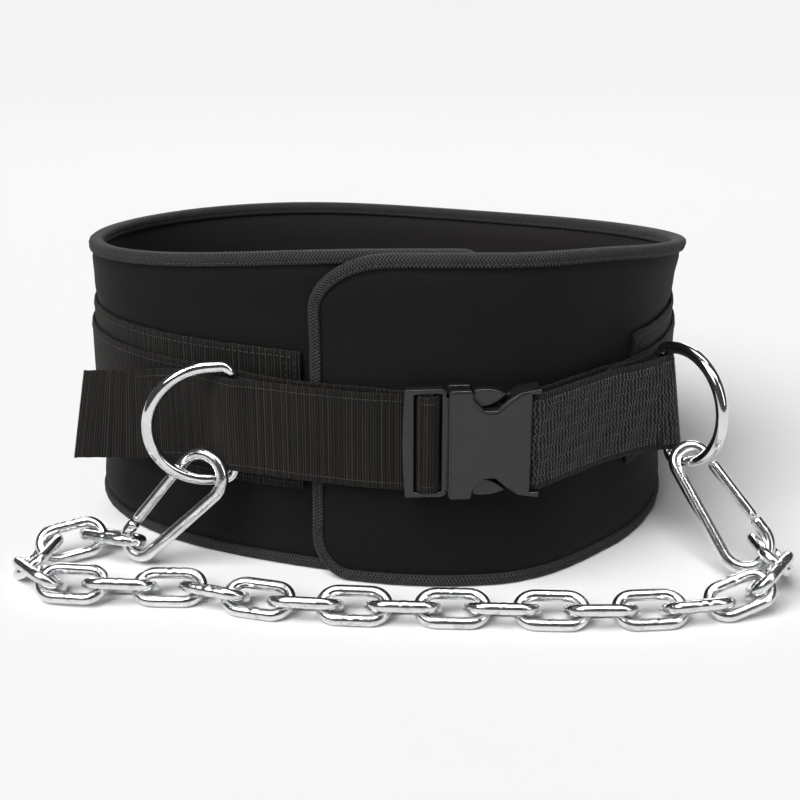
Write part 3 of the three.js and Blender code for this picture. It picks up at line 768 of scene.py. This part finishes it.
class BELT_OT_wide_webbing(bpy.types.Operator):
    """Makes the wide webbing sewn round the sides and back, with its rows of stitches"""

    bl_idname = "belt.wide_webbing"
    bl_label = "Wide webbing"

    def execute(self, context):
        cloth = context.scene.belt_cloth
        deg = np.linspace(WIDE_FROM, WIDE_TO, 640)
        half = WIDE_TALL / 2
        rows = cloth_rows(half, (0, 0.35, 1.2, 2.4), 4.5, 18)
        edge = [0, half - 2.4, half - 1.2, half - 0.35, half]
        thin = np.interp(np.abs(rows), edge, [1, 1, 0.95, 0.75, 0.35])
        dip = 0.28 * np.exp(-((np.abs(rows) - half + 3.2) / 0.9) ** 2)
        run = np.interp(deg, ANGLES, LENGTHS)
        fray = 0.12 * np.sin(run / 1.9) + 0.1 * np.sin(run / 5.3)
        z = STRAP_MID + rows[None] + np.sign(rows)[None] * fray[:, None] * (np.abs(rows)[None] > half - 3)
        corner = np.minimum(run - run[0], run[-1] - run)
        cut = 2.2 * np.clip(1 - corner / 2.2, 0, 1) ** 2
        z = np.clip(z, STRAP_MID - half - 0.2 + cut[:, None], STRAP_MID + half + 0.2 - cut[:, None])
        mid = GAP + WIDE_THICK / 2
        outer = face(deg[:, None], z, mid + WIDE_THICK / 2 * thin - dip)
        inner = face(deg[:, None], z, mid - WIDE_THICK / 2 * thin)
        rings = np.concatenate([outer, inner[:, ::-1]], 1)
        across = np.concatenate([rows, rows[::-1] + 200])
        sheet = skin("webbing_wide", rings, False, ribbon_uv(run, across))
        look = strap_cloth("webbing_wide", cloth.strap_colour, cloth.wide_pitch * 1000, 1.0)
        dress(sheet, look, "webbing", "wide_webbing")
        lines = []
        inside = deg[(deg > WIDE_FROM + 1.2) & (deg < WIDE_TO - 1.2)]
        for sign in (-1, 1):
            z = STRAP_MID + sign * (half - 3.2)
            lines.append((face(inside, z, GAP + WIDE_THICK + 0.05), out_of_band(inside)))
        tall = np.linspace(STRAP_MID - half + 4, STRAP_MID + half - 4, 40)
        for at in (WIDE_FROM + 1.3, WIDE_FROM + 3.2, WIDE_TO - 3.4, WIDE_TO - 1.3):
            out = np.repeat(out_of_band(at)[None], len(tall), 0)
            lines.append((face(at, tall, GAP + WIDE_THICK + 0.1), out))
        belt_seam("webbing_stitches", lines, cloth, 0.8, "webbing")
        return {"FINISHED"}


BUCKLE_MID, BUCKLE_OUT = plan(BUCKLE_AT)
ALONG_BUCKLE = np.array([-BUCKLE_OUT[1], BUCKLE_OUT[0]])


def in_buckle(u, w):
    """A place in the buckle's own frame: u along the strap, w outwards."""
    out = LAP_OUT + 0.7 + SHELL_THICK / 2 - WAIST_IN + w
    return BUCKLE_MID + BUCKLE_OUT * out + ALONG_BUCKLE * (u - BUCKLE_LONG / 2)


LEFT_BAR = face(236, STRAP_MID - 2, STRAP_ON + 1.9 + STRAP_THICK / 2 + GAP + RING_WIRE / 2)
LEFT_WAY = np.array([-math.cos(math.radians(12)), -math.sin(math.radians(12)), 0.0])
RIGHT_BAR = face(325.5, STRAP_MID - 2, 15.5)
RIGHT_WAY = unit([0.5, -0.84, 0.2])
LEAN_ROWS = np.linspace(-STRAP_TALL / 2, STRAP_TALL / 2, 17)


def heading(v):
    """The angle of a level vector, in degrees."""
    return math.degrees(math.atan2(v[1], v[0]))


def wrap(bar):
    """The strap's radius round a bar of the given radius."""
    return bar + GAP + STRAP_THICK / 2


def strap_route():
    """The strap's middle line, from the end sewn by the right ring to the loose end.

    Each station also holds how far each height leans.
    """
    route = []
    layer = STRAP_THICK + GAP + 0.1

    def station(deg, x, y, z, lean=None):
        if lean is None:
            off = face(deg, STRAP_MID + LEAN_ROWS, 0)[:, :2] - face(deg, STRAP_MID, 0)[:2]
        else:
            off = LEAN_ROWS[:, None] * lean[None]
        route.append(np.concatenate([[x, y, z], off.ravel()]))

    def follow(*list_of):
        for deg, w, *drop in list_of:
            x, y, _ = face(deg, STRAP_MID, w)
            station(deg, x, y, STRAP_MID - (drop[0] if drop else 0))

    def turn(centre, radius, start, end, deg, count, lean=None):
        for k in range(count + 1):
            a = math.radians(start + (end - start) * k / count)
            station(deg, centre[0] + radius * math.cos(a), centre[1] + radius * math.sin(a), STRAP_MID, lean)

    def in_ladder(u, w, drop):
        x, y = in_buckle(u, w)
        station(630, x, y, STRAP_MID - drop)

    # The end sewn down under the right ring, then round the ring's bar.
    lift = float(lap(311))
    follow((311, lift + 1.2 + 1.6 * layer + STRAP_THICK), (316, STRAP_ON + 1.15 * layer),
           (320.5, STRAP_ON + 1.9 * layer))
    up = np.array([0, 0, 1]) - RIGHT_WAY * RIGHT_WAY[2]
    right_out = heading(plan(325.5)[1])
    turn(RIGHT_BAR, wrap(RING_WIRE / 2 + 0.9), right_out + 200, right_out - 22, 325.5, 10, up[:2] / up[2])
    follow((320.2, 13.2), (316, 10.6), (311, lift + 1.2 + 2.7 * layer + STRAP_THICK))
    # Round the socket half's bar, and along the wide webbing round the back.
    buckle_out = heading(BUCKLE_OUT)
    turn(in_buckle(SHELL_TO + 2.1, 0), wrap(2.45), buckle_out + 8, buckle_out - 186, 296, 9)
    follow((303, float(lap(303)) + 1.9), (307, float(lap(307)) + 1.6))
    follow((311, lift + 1.4), (316, STRAP_ON + 0.1))
    follow(*[(deg, STRAP_ON) for deg in range(int(WIDE_FROM), 587, 5)])
    follow((591, STRAP_ON + 0.4), (596, STRAP_ON + 1.9), (601, STRAP_ON + 4.2), (606, STRAP_ON + 6.2))
    follow((611, LAP_OUT + 2.1), (617, LAP_OUT + 1.7), (624, LAP_OUT + 1.7))
    # Round the prong half's bar, then over the left ring's bar to the loose end.
    tail_in = -2.5 - GAP - STRAP_THICK / 2
    in_ladder(4, tail_in - layer, 0)
    in_ladder(8.6, tail_in - layer, 0)
    turn(in_buckle(13.2, 0), wrap(math.hypot(2.5, 2.6)), buckle_out + 182, buckle_out - 92, 630, 12)
    in_ladder(8.4, -2.4, 0.3)
    in_ladder(7.0, tail_in, 0.6)
    in_ladder(4, tail_in, 1)
    follow((264, LAP_OUT + 5.4, 1.5), (258, 13.1, 1.5), (252, 13.1, 1.5), (246, 12.9, 1.5), (241, 12.9, 1.5))
    over_bar = STRAP_ON + 1.9 + 2 * (STRAP_THICK / 2 + GAP) + RING_WIRE + STRAP_THICK / 2
    follow((236, over_bar, 1.5), (232.5, 10.8, 1.6))
    follow((229, 8.6, 2), (225, 7.4, 3), (220, 8.2, 5), (215, 11, 7.5), (210, 15, 10), (205.5, 19.5, 13))
    return catmull(route, 1.6)


class BELT_OT_strap(bpy.types.Operator):
    """Makes the one long strap, its turns round the bars and its stitching"""

    bl_idname = "belt.strap"
    bl_label = "Strap"

    def execute(self, context):
        cloth = context.scene.belt_cloth
        route = strap_route()
        mid = route[:, :3]
        lean = route[:, 3:].reshape(len(route), -1, 2)
        run = lengths_along(mid)
        along = unit(np.gradient(mid[:, :2], axis=0))
        side = np.stack([along[:, 1], -along[:, 0]], -1)
        half = STRAP_TALL / 2
        rows = cloth_rows(half, (0, 0.3, 1.0), 2.4, 14)
        edge = [0, half - 2.4, half - 1.0, half - 0.3, half]
        thin = np.interp(np.abs(rows), edge, [0.97, 1.0, 0.95, 0.7, 0.3])
        shift = [[np.interp(rows, LEAN_ROWS, row[:, k]) for k in (0, 1)] for row in lean]
        shift = np.stack(shift).transpose(0, 2, 1)
        ripple = 0.07 * np.sin(run / 1.3) + 0.05 * np.sin(run / 3.7)
        z = mid[:, 2:3] + rows[None] + np.sign(rows)[None] * ripple[:, None] * (np.abs(rows) > half - 2)
        centre = mid[:, None, :2] + shift
        ends = smooth(run[-1] - 50, run[-1], run)
        reach = 2.0 + 8.5 * (half - rows) / (2 * half)
        centre[..., 0] -= (ends ** 1.5)[:, None] * reach[None]
        faces = []
        for sign in (1, -1):
            xy = centre + side[:, None] * (sign * STRAP_THICK / 2 * thin)[None, :, None]
            faces.append(np.concatenate([xy, z[..., None]], -1))
        rings = np.concatenate([faces[0], faces[1][:, ::-1]], 1)
        across = np.concatenate([rows, rows[::-1] + 100])
        strap = skin("strap_webbing", rings, False, ribbon_uv(run, across))
        look = strap_cloth("webbing_strap", cloth.strap_colour, cloth.strap_pitch * 1000, 1.1)
        dress(strap, look, "webbing", "strap")
        self.sew(cloth, mid, shift, rows, side, run)
        end = np.concatenate([centre[-1], z[-1][:, None]], -1)
        bead = tube("strap_sealed_end", end, STRAP_THICK * 0.56, 10, False, np.append(along[-1], 0.0))
        dress(bead, sealed_end(cloth.strap_colour), "webbing")
        return {"FINISHED"}

    def sew(self, cloth, mid, shift, rows, side, run):
        """The worked patch by the buckle, and the rows that hold the strap to the wide webbing."""
        def line(points):
            out, normals = [], []
            for s, h in points:
                i = min(len(run) - 1, int(np.searchsorted(run, s)))
                lean = [np.interp(h, rows, shift[i, :, k]) for k in (0, 1)]
                place = place_at(s, run, mid)
                normal = np.array([side[i, 0], side[i, 1], 0.0]) * self.outward(mid[i], side[i])
                base = np.array([place[0] + lean[0], place[1] + lean[1], place[2] + h])
                out.append(base + normal * (STRAP_THICK / 2 + 0.02))
                normals.append(normal)
            return out, normals

        leg = [s for s, m in zip(run, mid) if 66 < m[0] < 118 and m[1] < -90 and s < 200]
        worked = []
        for k, s in enumerate(np.arange(min(leg) + 1, max(leg) - 1, 2.1)):
            zig = [(s + 0.8 * (-1) ** j + 0.35 * math.sin(h / 3.1 + k), h)
                   for j, h in enumerate(np.arange(-21.3, 21.4, 1.7))]
            worked.append(line(zig))
        patch = sewn_lines("strap_darning", worked, 0.4, 1.75, 1.9)
        pale = [c * 2.4 for c in cloth.thread_colour]
        dress(patch, thread_look(pale, "pale_thread"), "webbing")
        back = [s for s, m in zip(run, mid) if s > 200 and (m[1] > -60 or abs(m[0]) > 150)]
        steps = np.arange(min(back) + 4, max(back) - 30, 1.6)
        lines = [line([(s, h) for s in steps]) for h in (-20.4, 20.4)]
        seam = sewn_lines("strap_stitches", lines, cloth.thread_radius * 900, 1.55, 1.75)
        dress(seam, thread_look(cloth.thread_colour), "webbing")

    @staticmethod
    def outward(place, side):
        """1 where a side direction points away from the loop's middle, and otherwise -1."""
        return 1.0 if side @ (place[:2] - np.array([0.0, -10.0])) > 0 else -1.0


class BELT_OT_buckle(bpy.types.Operator):
    """Makes the buckle's two halves with softened moulded edges"""

    bl_idname = "belt.buckle"
    bl_label = "Side-release buckle"

    def execute(self, context):
        hardware = context.scene.belt_hardware
        look = moulded_plastic(hardware.plastic_colour)
        for node, soften in (("buckle_male", hardware.prong_round), ("buckle_female", hardware.socket_round)):
            bm = bmesh.new()
            bm.from_mesh(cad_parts[node].data)
            bmesh.ops.remove_doubles(bm, verts=bm.verts, dist=1e-5)
            bmesh.ops.dissolve_limit(bm, angle_limit=math.radians(2), verts=bm.verts, edges=bm.edges)
            piece = from_bmesh(node + "_moulding", bm)
            bevel = piece.modifiers.new("soft edges", "BEVEL")
            bevel.width = soften
            bevel.segments = 4
            bevel.use_clamp_overlap = False
            bevel.limit_method = "ANGLE"
            bevel.angle_limit = math.radians(28)
            bevel.harden_normals = True
            dress(piece, look, "buckle_plastic", node)
        self.crown(look)
        return {"FINISHED"}

    @staticmethod
    def crown(look):
        """The gently domed front of the socket half."""
        half = BUCKLE_TALL / 2
        side = [(SHELL_FROM + u, half - z) for u, z in (
            (1.1, 1.9), (2.1, 1.2), (9.2, 1.2), (10.0, 2.4), (10.6, 5.2), (13, 8.6), (16.3, 11.2),
            (19.4, 11.7), (22.6, 11.2), (27.6, 6.9), (33.2, 2.9))]
        side.append((BUCKLE_LONG - 5.4, half - 1.5))
        flat = side + [(u, -z) for u, z in reversed(side)]
        bm = bmesh.new()
        base = SHELL_THICK / 2 - 0.25
        plate = bm.faces.new([bm.verts.new((u, z, base)) for u, z in flat])
        bm.normal_update()
        if plate.normal.z < 0:
            plate.normal_flip()
            bm.normal_update()
        for inset, rise in ((0.12, 0.3), (0.3, 0.2), (0.7, 0.16), (1.6, 0.14), (3.0, 0.1)):
            bmesh.ops.inset_region(bm, faces=[plate], thickness=inset, depth=rise, use_even_offset=True)
        for vert in bm.verts:
            u, z, w = vert.co
            x, y = in_buckle(u, w)
            vert.co = Vector((x + SHIFT[0], y + SHIFT[1], z + STRAP_MID)) / 1000
        bm.normal_update()
        if sum(f.normal.dot(Vector((*BUCKLE_OUT, 0))) for f in bm.faces) < 0:
            bmesh.ops.reverse_faces(bm, faces=bm.faces)
        dress(from_bmesh("buckle_crown", bm), look, "buckle_plastic")


def arc(middle, radius, angles):
    """Points of a circle at angles in radians."""
    return [(middle[0] + radius * math.cos(a), middle[1] + radius * math.sin(a)) for a in angles]


def ring_curve():
    """A D-ring in its own plane: away from the bar, and along it."""
    half = (RING_INSIDE + RING_WIRE) / 2
    r = 5.0
    corner = np.radians([15, 30, 45, 60, 75, 90])
    bow = np.linspace(math.pi / 2, -math.pi / 2, 49)
    pts = [(0.0, y) for y in np.linspace(-(half - r), half - r, 12)]
    pts += [(r - r * math.cos(a), half - r + r * math.sin(a)) for a in corner]
    pts += [(RING_ARM + (RING_DEPTH - RING_ARM) * math.cos(a), half * math.sin(a)) for a in bow]
    pts += [(r - r * math.cos(a), r - half - r * math.sin(a)) for a in corner[::-1]]
    return np.array(pts)


def in_plane(points, origin, x, y):
    """Flat points brought into a plane."""
    return origin + points[:, :1] * x + points[:, 1:2] * y


class BELT_OT_rings(bpy.types.Operator):
    """Makes the two chromed D-rings"""

    bl_idname = "belt.rings"
    bl_label = "D-rings"

    def execute(self, context):
        look = plated_steel("chromed_ring", context.scene.belt_hardware.chrome_colour, 0.05, 0.16, 0.25)
        for side, bar, way in (("left", LEFT_BAR, LEFT_WAY), ("right", RIGHT_BAR, RIGHT_WAY)):
            up = unit(np.array([0, 0, 1.0]) - way * way[2])
            path = in_plane(ring_curve(), bar, way, up)
            ring = tube("ring_wire_" + side, path, RING_WIRE / 2, 24, True, np.cross(way, up))
            dress(ring, look, "ring_chrome", "ring_" + side)
        return {"FINISHED"}


SNAP_BETWEEN = SNAP_LONG - SNAP_WIRE - SNAP_NARROW - SNAP_WIDE
SNAP_LEAN = math.asin((SNAP_WIDE - SNAP_NARROW) / SNAP_BETWEEN)
HINGE_SIDE = np.array([-SNAP_NARROW * math.sin(SNAP_LEAN), SNAP_NARROW * math.cos(SNAP_LEAN)])
NOSE_SIDE = np.array([SNAP_BETWEEN - SNAP_WIDE * math.sin(SNAP_LEAN), SNAP_WIDE * math.cos(SNAP_LEAN)])
SIDE_SPAN = float(np.linalg.norm(NOSE_SIDE - HINGE_SIDE))
# How far out on its ring each carabiner hangs, the place on its line and its roll.
LEFT_HANGS = 17.4
LEFT_AIM = np.array([-126.3, -121.35, 15.5])
LEFT_ROLL = 227
RIGHT_HANGS = 16
RIGHT_AIM = np.array([171, -139, 16.0])
RIGHT_ROLL = 25


def along_side(k):
    """A place on the straight side that the gate closes."""
    return HINGE_SIDE + (NOSE_SIDE - HINGE_SIDE) * k


def spin(v, axis, deg):
    """A vector turned about an axis."""
    return np.array(Matrix.Rotation(math.radians(deg), 3, Vector(axis)) @ Vector(v))


def square(v, axis):
    """The part of a vector at right angles to an axis, made one long."""
    return unit(v - axis * (v @ axis))


def snap_frames():
    """Each carabiner's own frame: origin, long direction, gate direction, axis."""
    half = (RING_INSIDE + RING_WIRE) / 2
    up = np.array([0, 0, 1.0])
    drop = half * math.sqrt(1 - ((LEFT_HANGS - RING_ARM) / (RING_DEPTH - RING_ARM)) ** 2)
    hang = LEFT_BAR + LEFT_WAY * LEFT_HANGS - up * drop
    long = unit(hang - LEFT_AIM)
    left = (hang + long * (1.2 - SNAP_BETWEEN), long, spin(square(LEFT_WAY, long), long, LEFT_ROLL))
    hang = RIGHT_BAR + RIGHT_WAY * RIGHT_HANGS - unit(up - RIGHT_WAY * RIGHT_WAY[2]) * (half - 0.4)
    long = unit(RIGHT_AIM - hang)
    right = (hang + long * 0.3, long, spin(square(RIGHT_WAY, long), long, RIGHT_ROLL))
    frames = {}
    for side, (origin, x, normal), gate_side in (("left", left, (-0.5, 0, 1)), ("right", right, (1, 0, 0))):
        y = np.cross(normal, x)
        if y @ np.array(gate_side, float) < 0:
            y, normal = -y, -normal
        frames[side] = (origin, x, y, normal)
    return frames


class BELT_OT_carabiners(bpy.types.Operator):
    """Makes the two pear-shaped carabiners with their sprung gates and rivets"""

    bl_idname = "belt.carabiners"
    bl_label = "Carabiners"

    def execute(self, context):
        look = plated_steel("plated_carabiner", context.scene.belt_hardware.zinc_colour, 0.09, 0.24, 0.6)
        for side, (origin, x, y, z) in snap_frames().items():
            self.body(side, origin, x, y, z, look)
            self.gate(side, origin, x, y, z, look)
        return {"FINISHED"}

    @staticmethod
    def body(side, origin, x, y, z, look):
        """The bent wire, thinner at its two ends so that the gate can pass."""
        start = 90 + math.degrees(SNAP_LEAN)
        pts = [along_side(k) for k in np.linspace(GATE_FROM, 0.01, 7)]
        pts += arc((0, 0), SNAP_NARROW, np.radians(np.linspace(start, 360 - start, 33)))
        pts += [along_side(k) * (1, -1) for k in np.linspace(0.04, 0.96, 16)]
        pts += arc((SNAP_BETWEEN, 0), SNAP_WIDE, np.radians(np.linspace(-start + 0.01, start - 0.01, 41)))
        pts += [along_side(k) for k in np.linspace(0.99, GATE_TO, 8)]
        pts = np.array(pts)
        run = lengths_along(pts)
        ends = np.minimum(run, run[-1] - run)
        radius = SNAP_WIRE / 2 * (1 - 0.45 * np.clip(1 - ends / 1.3, 0, 1) ** 2)
        wire = tube("carabiner_wire_" + side, in_plane(pts, origin, x, y), radius, 20, False, z)
        dress(wire, look, "zinc_steel", "carabiner_" + side)

    @staticmethod
    def gate(side, origin, x, y, z, look):
        """The gate with rounded ends, and its two rivets."""
        a = GATE_FROM + 2 * GAP / SIDE_SPAN
        b = GATE_TO - GAP / SIDE_SPAN
        inset = np.array([0, 0.25, 0.8, 1.6, 2.6])
        hinge = np.array([0.2, 0.5, 0.74, 0.92, 1.0])
        nose = np.array([1.0, 0.98, 0.92, 0.82, 0.62])
        length = (b - a) * SIDE_SPAN
        at = np.concatenate([inset, np.linspace(4, length - 4, 9), length - inset[::-1]])
        radius = GATE_WIRE / 2 * np.concatenate([hinge, np.ones(9), nose])
        pts = np.array([along_side(a + s / SIDE_SPAN) for s in at])
        gate = tube("gate_tube_" + side, in_plane(pts, origin, x, y), radius, 20, False, z)
        dress(gate, look, "zinc_steel", "gate_" + side, body="gate_" + side)
        rivet_radius = np.array([0.55, 0.95, 1.1, 1.1, 0.95, 0.55])
        for name, place, reach in (("hinge", a + 1.9 / SIDE_SPAN, 3.0), ("nose", b - 2.2 / SIDE_SPAN, 2.95)):
            middle = in_plane(np.array([along_side(place)]), origin, x, y)[0]
            steps = np.array([-reach, -reach + 0.15, -reach + 0.4, reach - 0.4, reach - 0.15, reach])
            rivet = tube(f"rivet_{name}_{side}", middle + steps[:, None] * z, rivet_radius, 14, False, x)
            dress(rivet, look, "zinc_steel", body="gate_" + side)


REST_HIGH = LINK_WIRE / 2 + (LINK_WIDE + LINK_WIRE) / 2 * math.sin(math.radians(LINK_ROLL)) + 0.1
# Each joint of a pile: its place, and the roll of the link after it. A search settled them from
# chosen places, so that the links interlock and don't touch.
LEFT_PILE = ((-134.4, -118.9, 11.8, 20.6), (-153.5, -110.5, 11.1, -48.7), (-175.7, -120, 8.6, 35.9),
             (-180, -140.8, 7.6, -38.1), (-165.4, -159, 8.4, 32.2), (-143.9, -162.1, 8.6, -32.4))
RUN_POINTS = ((-119.8, -160.5), (-96, -161.5), (-64, -174), (-16, -180), (44, -183), (90, -185), (124, -183),
              (150, -177.5))
RIGHT_PILE = ((169.2, -171, 12, -48.5), (181.8, -154.5, 15.5, 37.2), (180.5, -130.2, 14.2, 0))
RUN_LINKS = 12
WELD_AT = 0.6


def chain_joints():
    """Where the links meet: a pile at each end, and an evenly spaced run between them."""
    joints = [(np.array(row[:3], float), row[3]) for row in LEFT_PILE]
    line = catmull([(x, y, REST_HIGH) for x, y in RUN_POINTS], 0.5)
    run = lengths_along(line)
    for k, s in enumerate(np.linspace(0, run[-1], RUN_LINKS + 1)):
        place = place_at(s, run, line)
        joints.append((place, LINK_ROLL if k % 2 == 0 else -LINK_ROLL))
    joints += [(np.array(row[:3], float), row[3]) for row in RIGHT_PILE]
    return joints


class BELT_OT_chain(bpy.types.Operator):
    """Makes the chain link by link, each bent from wire and welded in one side"""

    bl_idname = "belt.chain"
    bl_label = "Chain"

    def execute(self, context):
        look = plated_steel("plated_chain", context.scene.belt_hardware.zinc_colour, 0.09, 0.26, 0.8)
        joints = chain_joints()
        for i, ((a, roll), (b, _)) in enumerate(zip(joints, joints[1:])):
            name = f"link_{i + 1:02d}"
            along = unit(b - a)
            level = unit(np.array([-along[1], along[0], 0.0]))
            across = spin(level, along, roll)
            flat, radius = self.link(i, context.scene.belt_hardware.weld)
            path = in_plane(flat, (a + b) / 2, along, across)
            link = tube(f"chain_{name}", path, radius, 16, True, np.cross(along, across))
            dress(link, look, "zinc_steel", name)
        return {"FINISHED"}

    @staticmethod
    def link(i, swelling):
        """One link laid flat, with the swelling of its weld."""
        r = (LINK_WIDE + LINK_WIRE) / 2
        straight = (LINK_INSIDE + LINK_WIRE) / 2 - r
        bend = arc((straight, 0), r, np.linspace(-math.pi / 2, math.pi / 2, 17))
        leg = [(straight * k, r) for k in np.linspace(0.8, -0.8, 15)]
        pts = np.array(bend + leg)
        pts = np.concatenate([pts, -pts])
        welded = pts[:, 1] * (-1 if i % 3 else 1) > r - 0.5
        off = np.abs(pts[:, 0] - WELD_AT)
        bead = welded * np.exp(-(off / 1.3) ** 2)
        groove = welded * np.exp(-((off - 2.4) / 0.6) ** 2)
        bent = np.clip((np.abs(pts[:, 0]) - straight) / r, 0, 1)
        return pts, LINK_WIRE / 2 * (1 + swelling * bead - 0.05 * groove - 0.02 * bent)


# Each studio light's name, place, the point it faces, its size and its power.
LIGHTS = (
    ("key_light", (-0.9, -1.1, 1.35), (0, 0, 0.08), (0.9, 0.5), 9),
    ("fill_light", (1.25, -0.9, 0.8), (0, 0, 0.06), (0.3, 1.0), 3.5),
    ("top_light", (0.1, 0.25, 1.7), (0, 0, 0.0), (1.1, 0.5), 7),
    ("back_light", (-0.1, 1.6, 0.66), (0, 0, 0.1), (2.0, 0.44), 16),
    ("edge_light", (0.0, -0.5, 1.25), (0, 0, 0.08), (1.7, 0.26), 22),
)
SUN_POWER = 3.98
CAMERA_AT = (0.00111, -0.768, 0.31506)
CAMERA_DOWN = 0.33893452
CAMERA_LENS = 63.885
FLOOR_HALF = 9000.0


class BELT_OT_stage(bpy.types.Operator):
    """Makes the floor, the studio lights and the camera"""

    bl_idname = "belt.stage"
    bl_label = "Floor, light and camera"

    def execute(self, context):
        stage = context.scene.belt_stage
        self.floor(stage)
        power = stage.light_power
        for name, place, aim, size, watts in LIGHTS:
            self.area(name, place, aim, size, watts * power)
        sun = bpy.data.lights.new("even_light", "SUN")
        sun.energy = SUN_POWER * power
        sun.angle = math.radians(50)
        lamp = placed("even_light", sun)
        lamp.rotation_euler = (math.radians(31), math.radians(-27), 0)
        lamp.visible_glossy = False
        world = bpy.data.worlds.new("studio")
        world.use_nodes = True
        background = world.node_tree.nodes["Background"]
        background.inputs[0].default_value = (0.82, 0.84, 0.87, 1)
        background.inputs[1].default_value = 0.07
        context.scene.world = world
        context.scene.view_settings.view_transform = "Standard"
        self.camera(context)
        return {"FINISHED"}

    @staticmethod
    def floor(stage):
        """A sheet of plain paper."""
        look = Look("floor_paper", Roughness=0.9, Specular_IOR_Level=0.1)
        tone = look.noise(2.0, 3.0)
        look.feed("Base Color", look.mix(tone, rgb(stage.floor_colour), rgb(stage.floor_colour, 0.98)))
        h = FLOOR_HALF
        floor = collect("floor", [(-h, -h, 0), (h, -h, 0), (h, h, 0), (-h, h, 0)], [(0, 1, 2, 3)])
        floor.data.materials.append(look.material)

    @staticmethod
    def area(name, place, aim, size, watts):
        """A lamp that shows only in reflections."""
        light = bpy.data.lights.new(name, "AREA")
        light.shape = "RECTANGLE"
        light.size, light.size_y = size
        light.energy = watts
        lamp = placed(name, light)
        lamp.location = place
        lamp.rotation_euler = (Vector(aim) - Vector(place)).to_track_quat("-Z", "Y").to_euler()
        lamp.visible_diffuse = False
        lamp.visible_camera = False

    @staticmethod
    def camera(context):
        """The camera that fits the photograph."""
        data = bpy.data.cameras.new("camera")
        data.sensor_width = 36
        data.lens = CAMERA_LENS
        data.clip_start = 0.01
        camera = placed("camera", data)
        x, y, z = CAMERA_AT
        camera.location = (x + SHIFT[0] / 1000, y + SHIFT[1] / 1000, z)
        camera.rotation_euler = (math.radians(90) - CAMERA_DOWN, 0, 0)
        context.scene.camera = camera


OPERATORS = (
    BELT_OT_band, BELT_OT_binding, BELT_OT_wide_webbing, BELT_OT_strap, BELT_OT_buckle,
    BELT_OT_rings, BELT_OT_carabiners, BELT_OT_chain, BELT_OT_stage,
)


class BELT_PT_panel(bpy.types.Panel):
    """Lists the belt's pieces"""

    bl_idname = "BELT_PT_panel"
    bl_label = "Dip belt"
    bl_space_type = "VIEW_3D"
    bl_region_type = "UI"
    bl_category = "Dip belt"

    def draw(self, context):
        for group in (context.scene.belt_cloth, context.scene.belt_hardware, context.scene.belt_stage):
            for name in group.__annotations__:
                self.layout.prop(group, name)
        for operator in OPERATORS:
            self.layout.operator(operator.bl_idname)


SETTINGS = (
    ("belt_cloth", ClothSettings),
    ("belt_hardware", HardwareSettings),
    ("belt_stage", StageSettings),
)


def register():
    for name, group in SETTINGS:
        bpy.utils.register_class(group)
        setattr(bpy.types.Scene, name, bpy.props.PointerProperty(type=group))
    for kind in OPERATORS + (BELT_PT_panel,):
        bpy.utils.register_class(kind)


def unregister():
    for kind in reversed(OPERATORS + (BELT_PT_panel,)):
        bpy.utils.unregister_class(kind)
    for name, group in reversed(SETTINGS):
        delattr(bpy.types.Scene, name)
        bpy.utils.unregister_class(group)


def main():
    register()
    for operator in OPERATORS:
        group, name = operator.bl_idname.split(".")
        getattr(getattr(bpy.ops, group), name)()


if __name__ == "__main__":
    main()
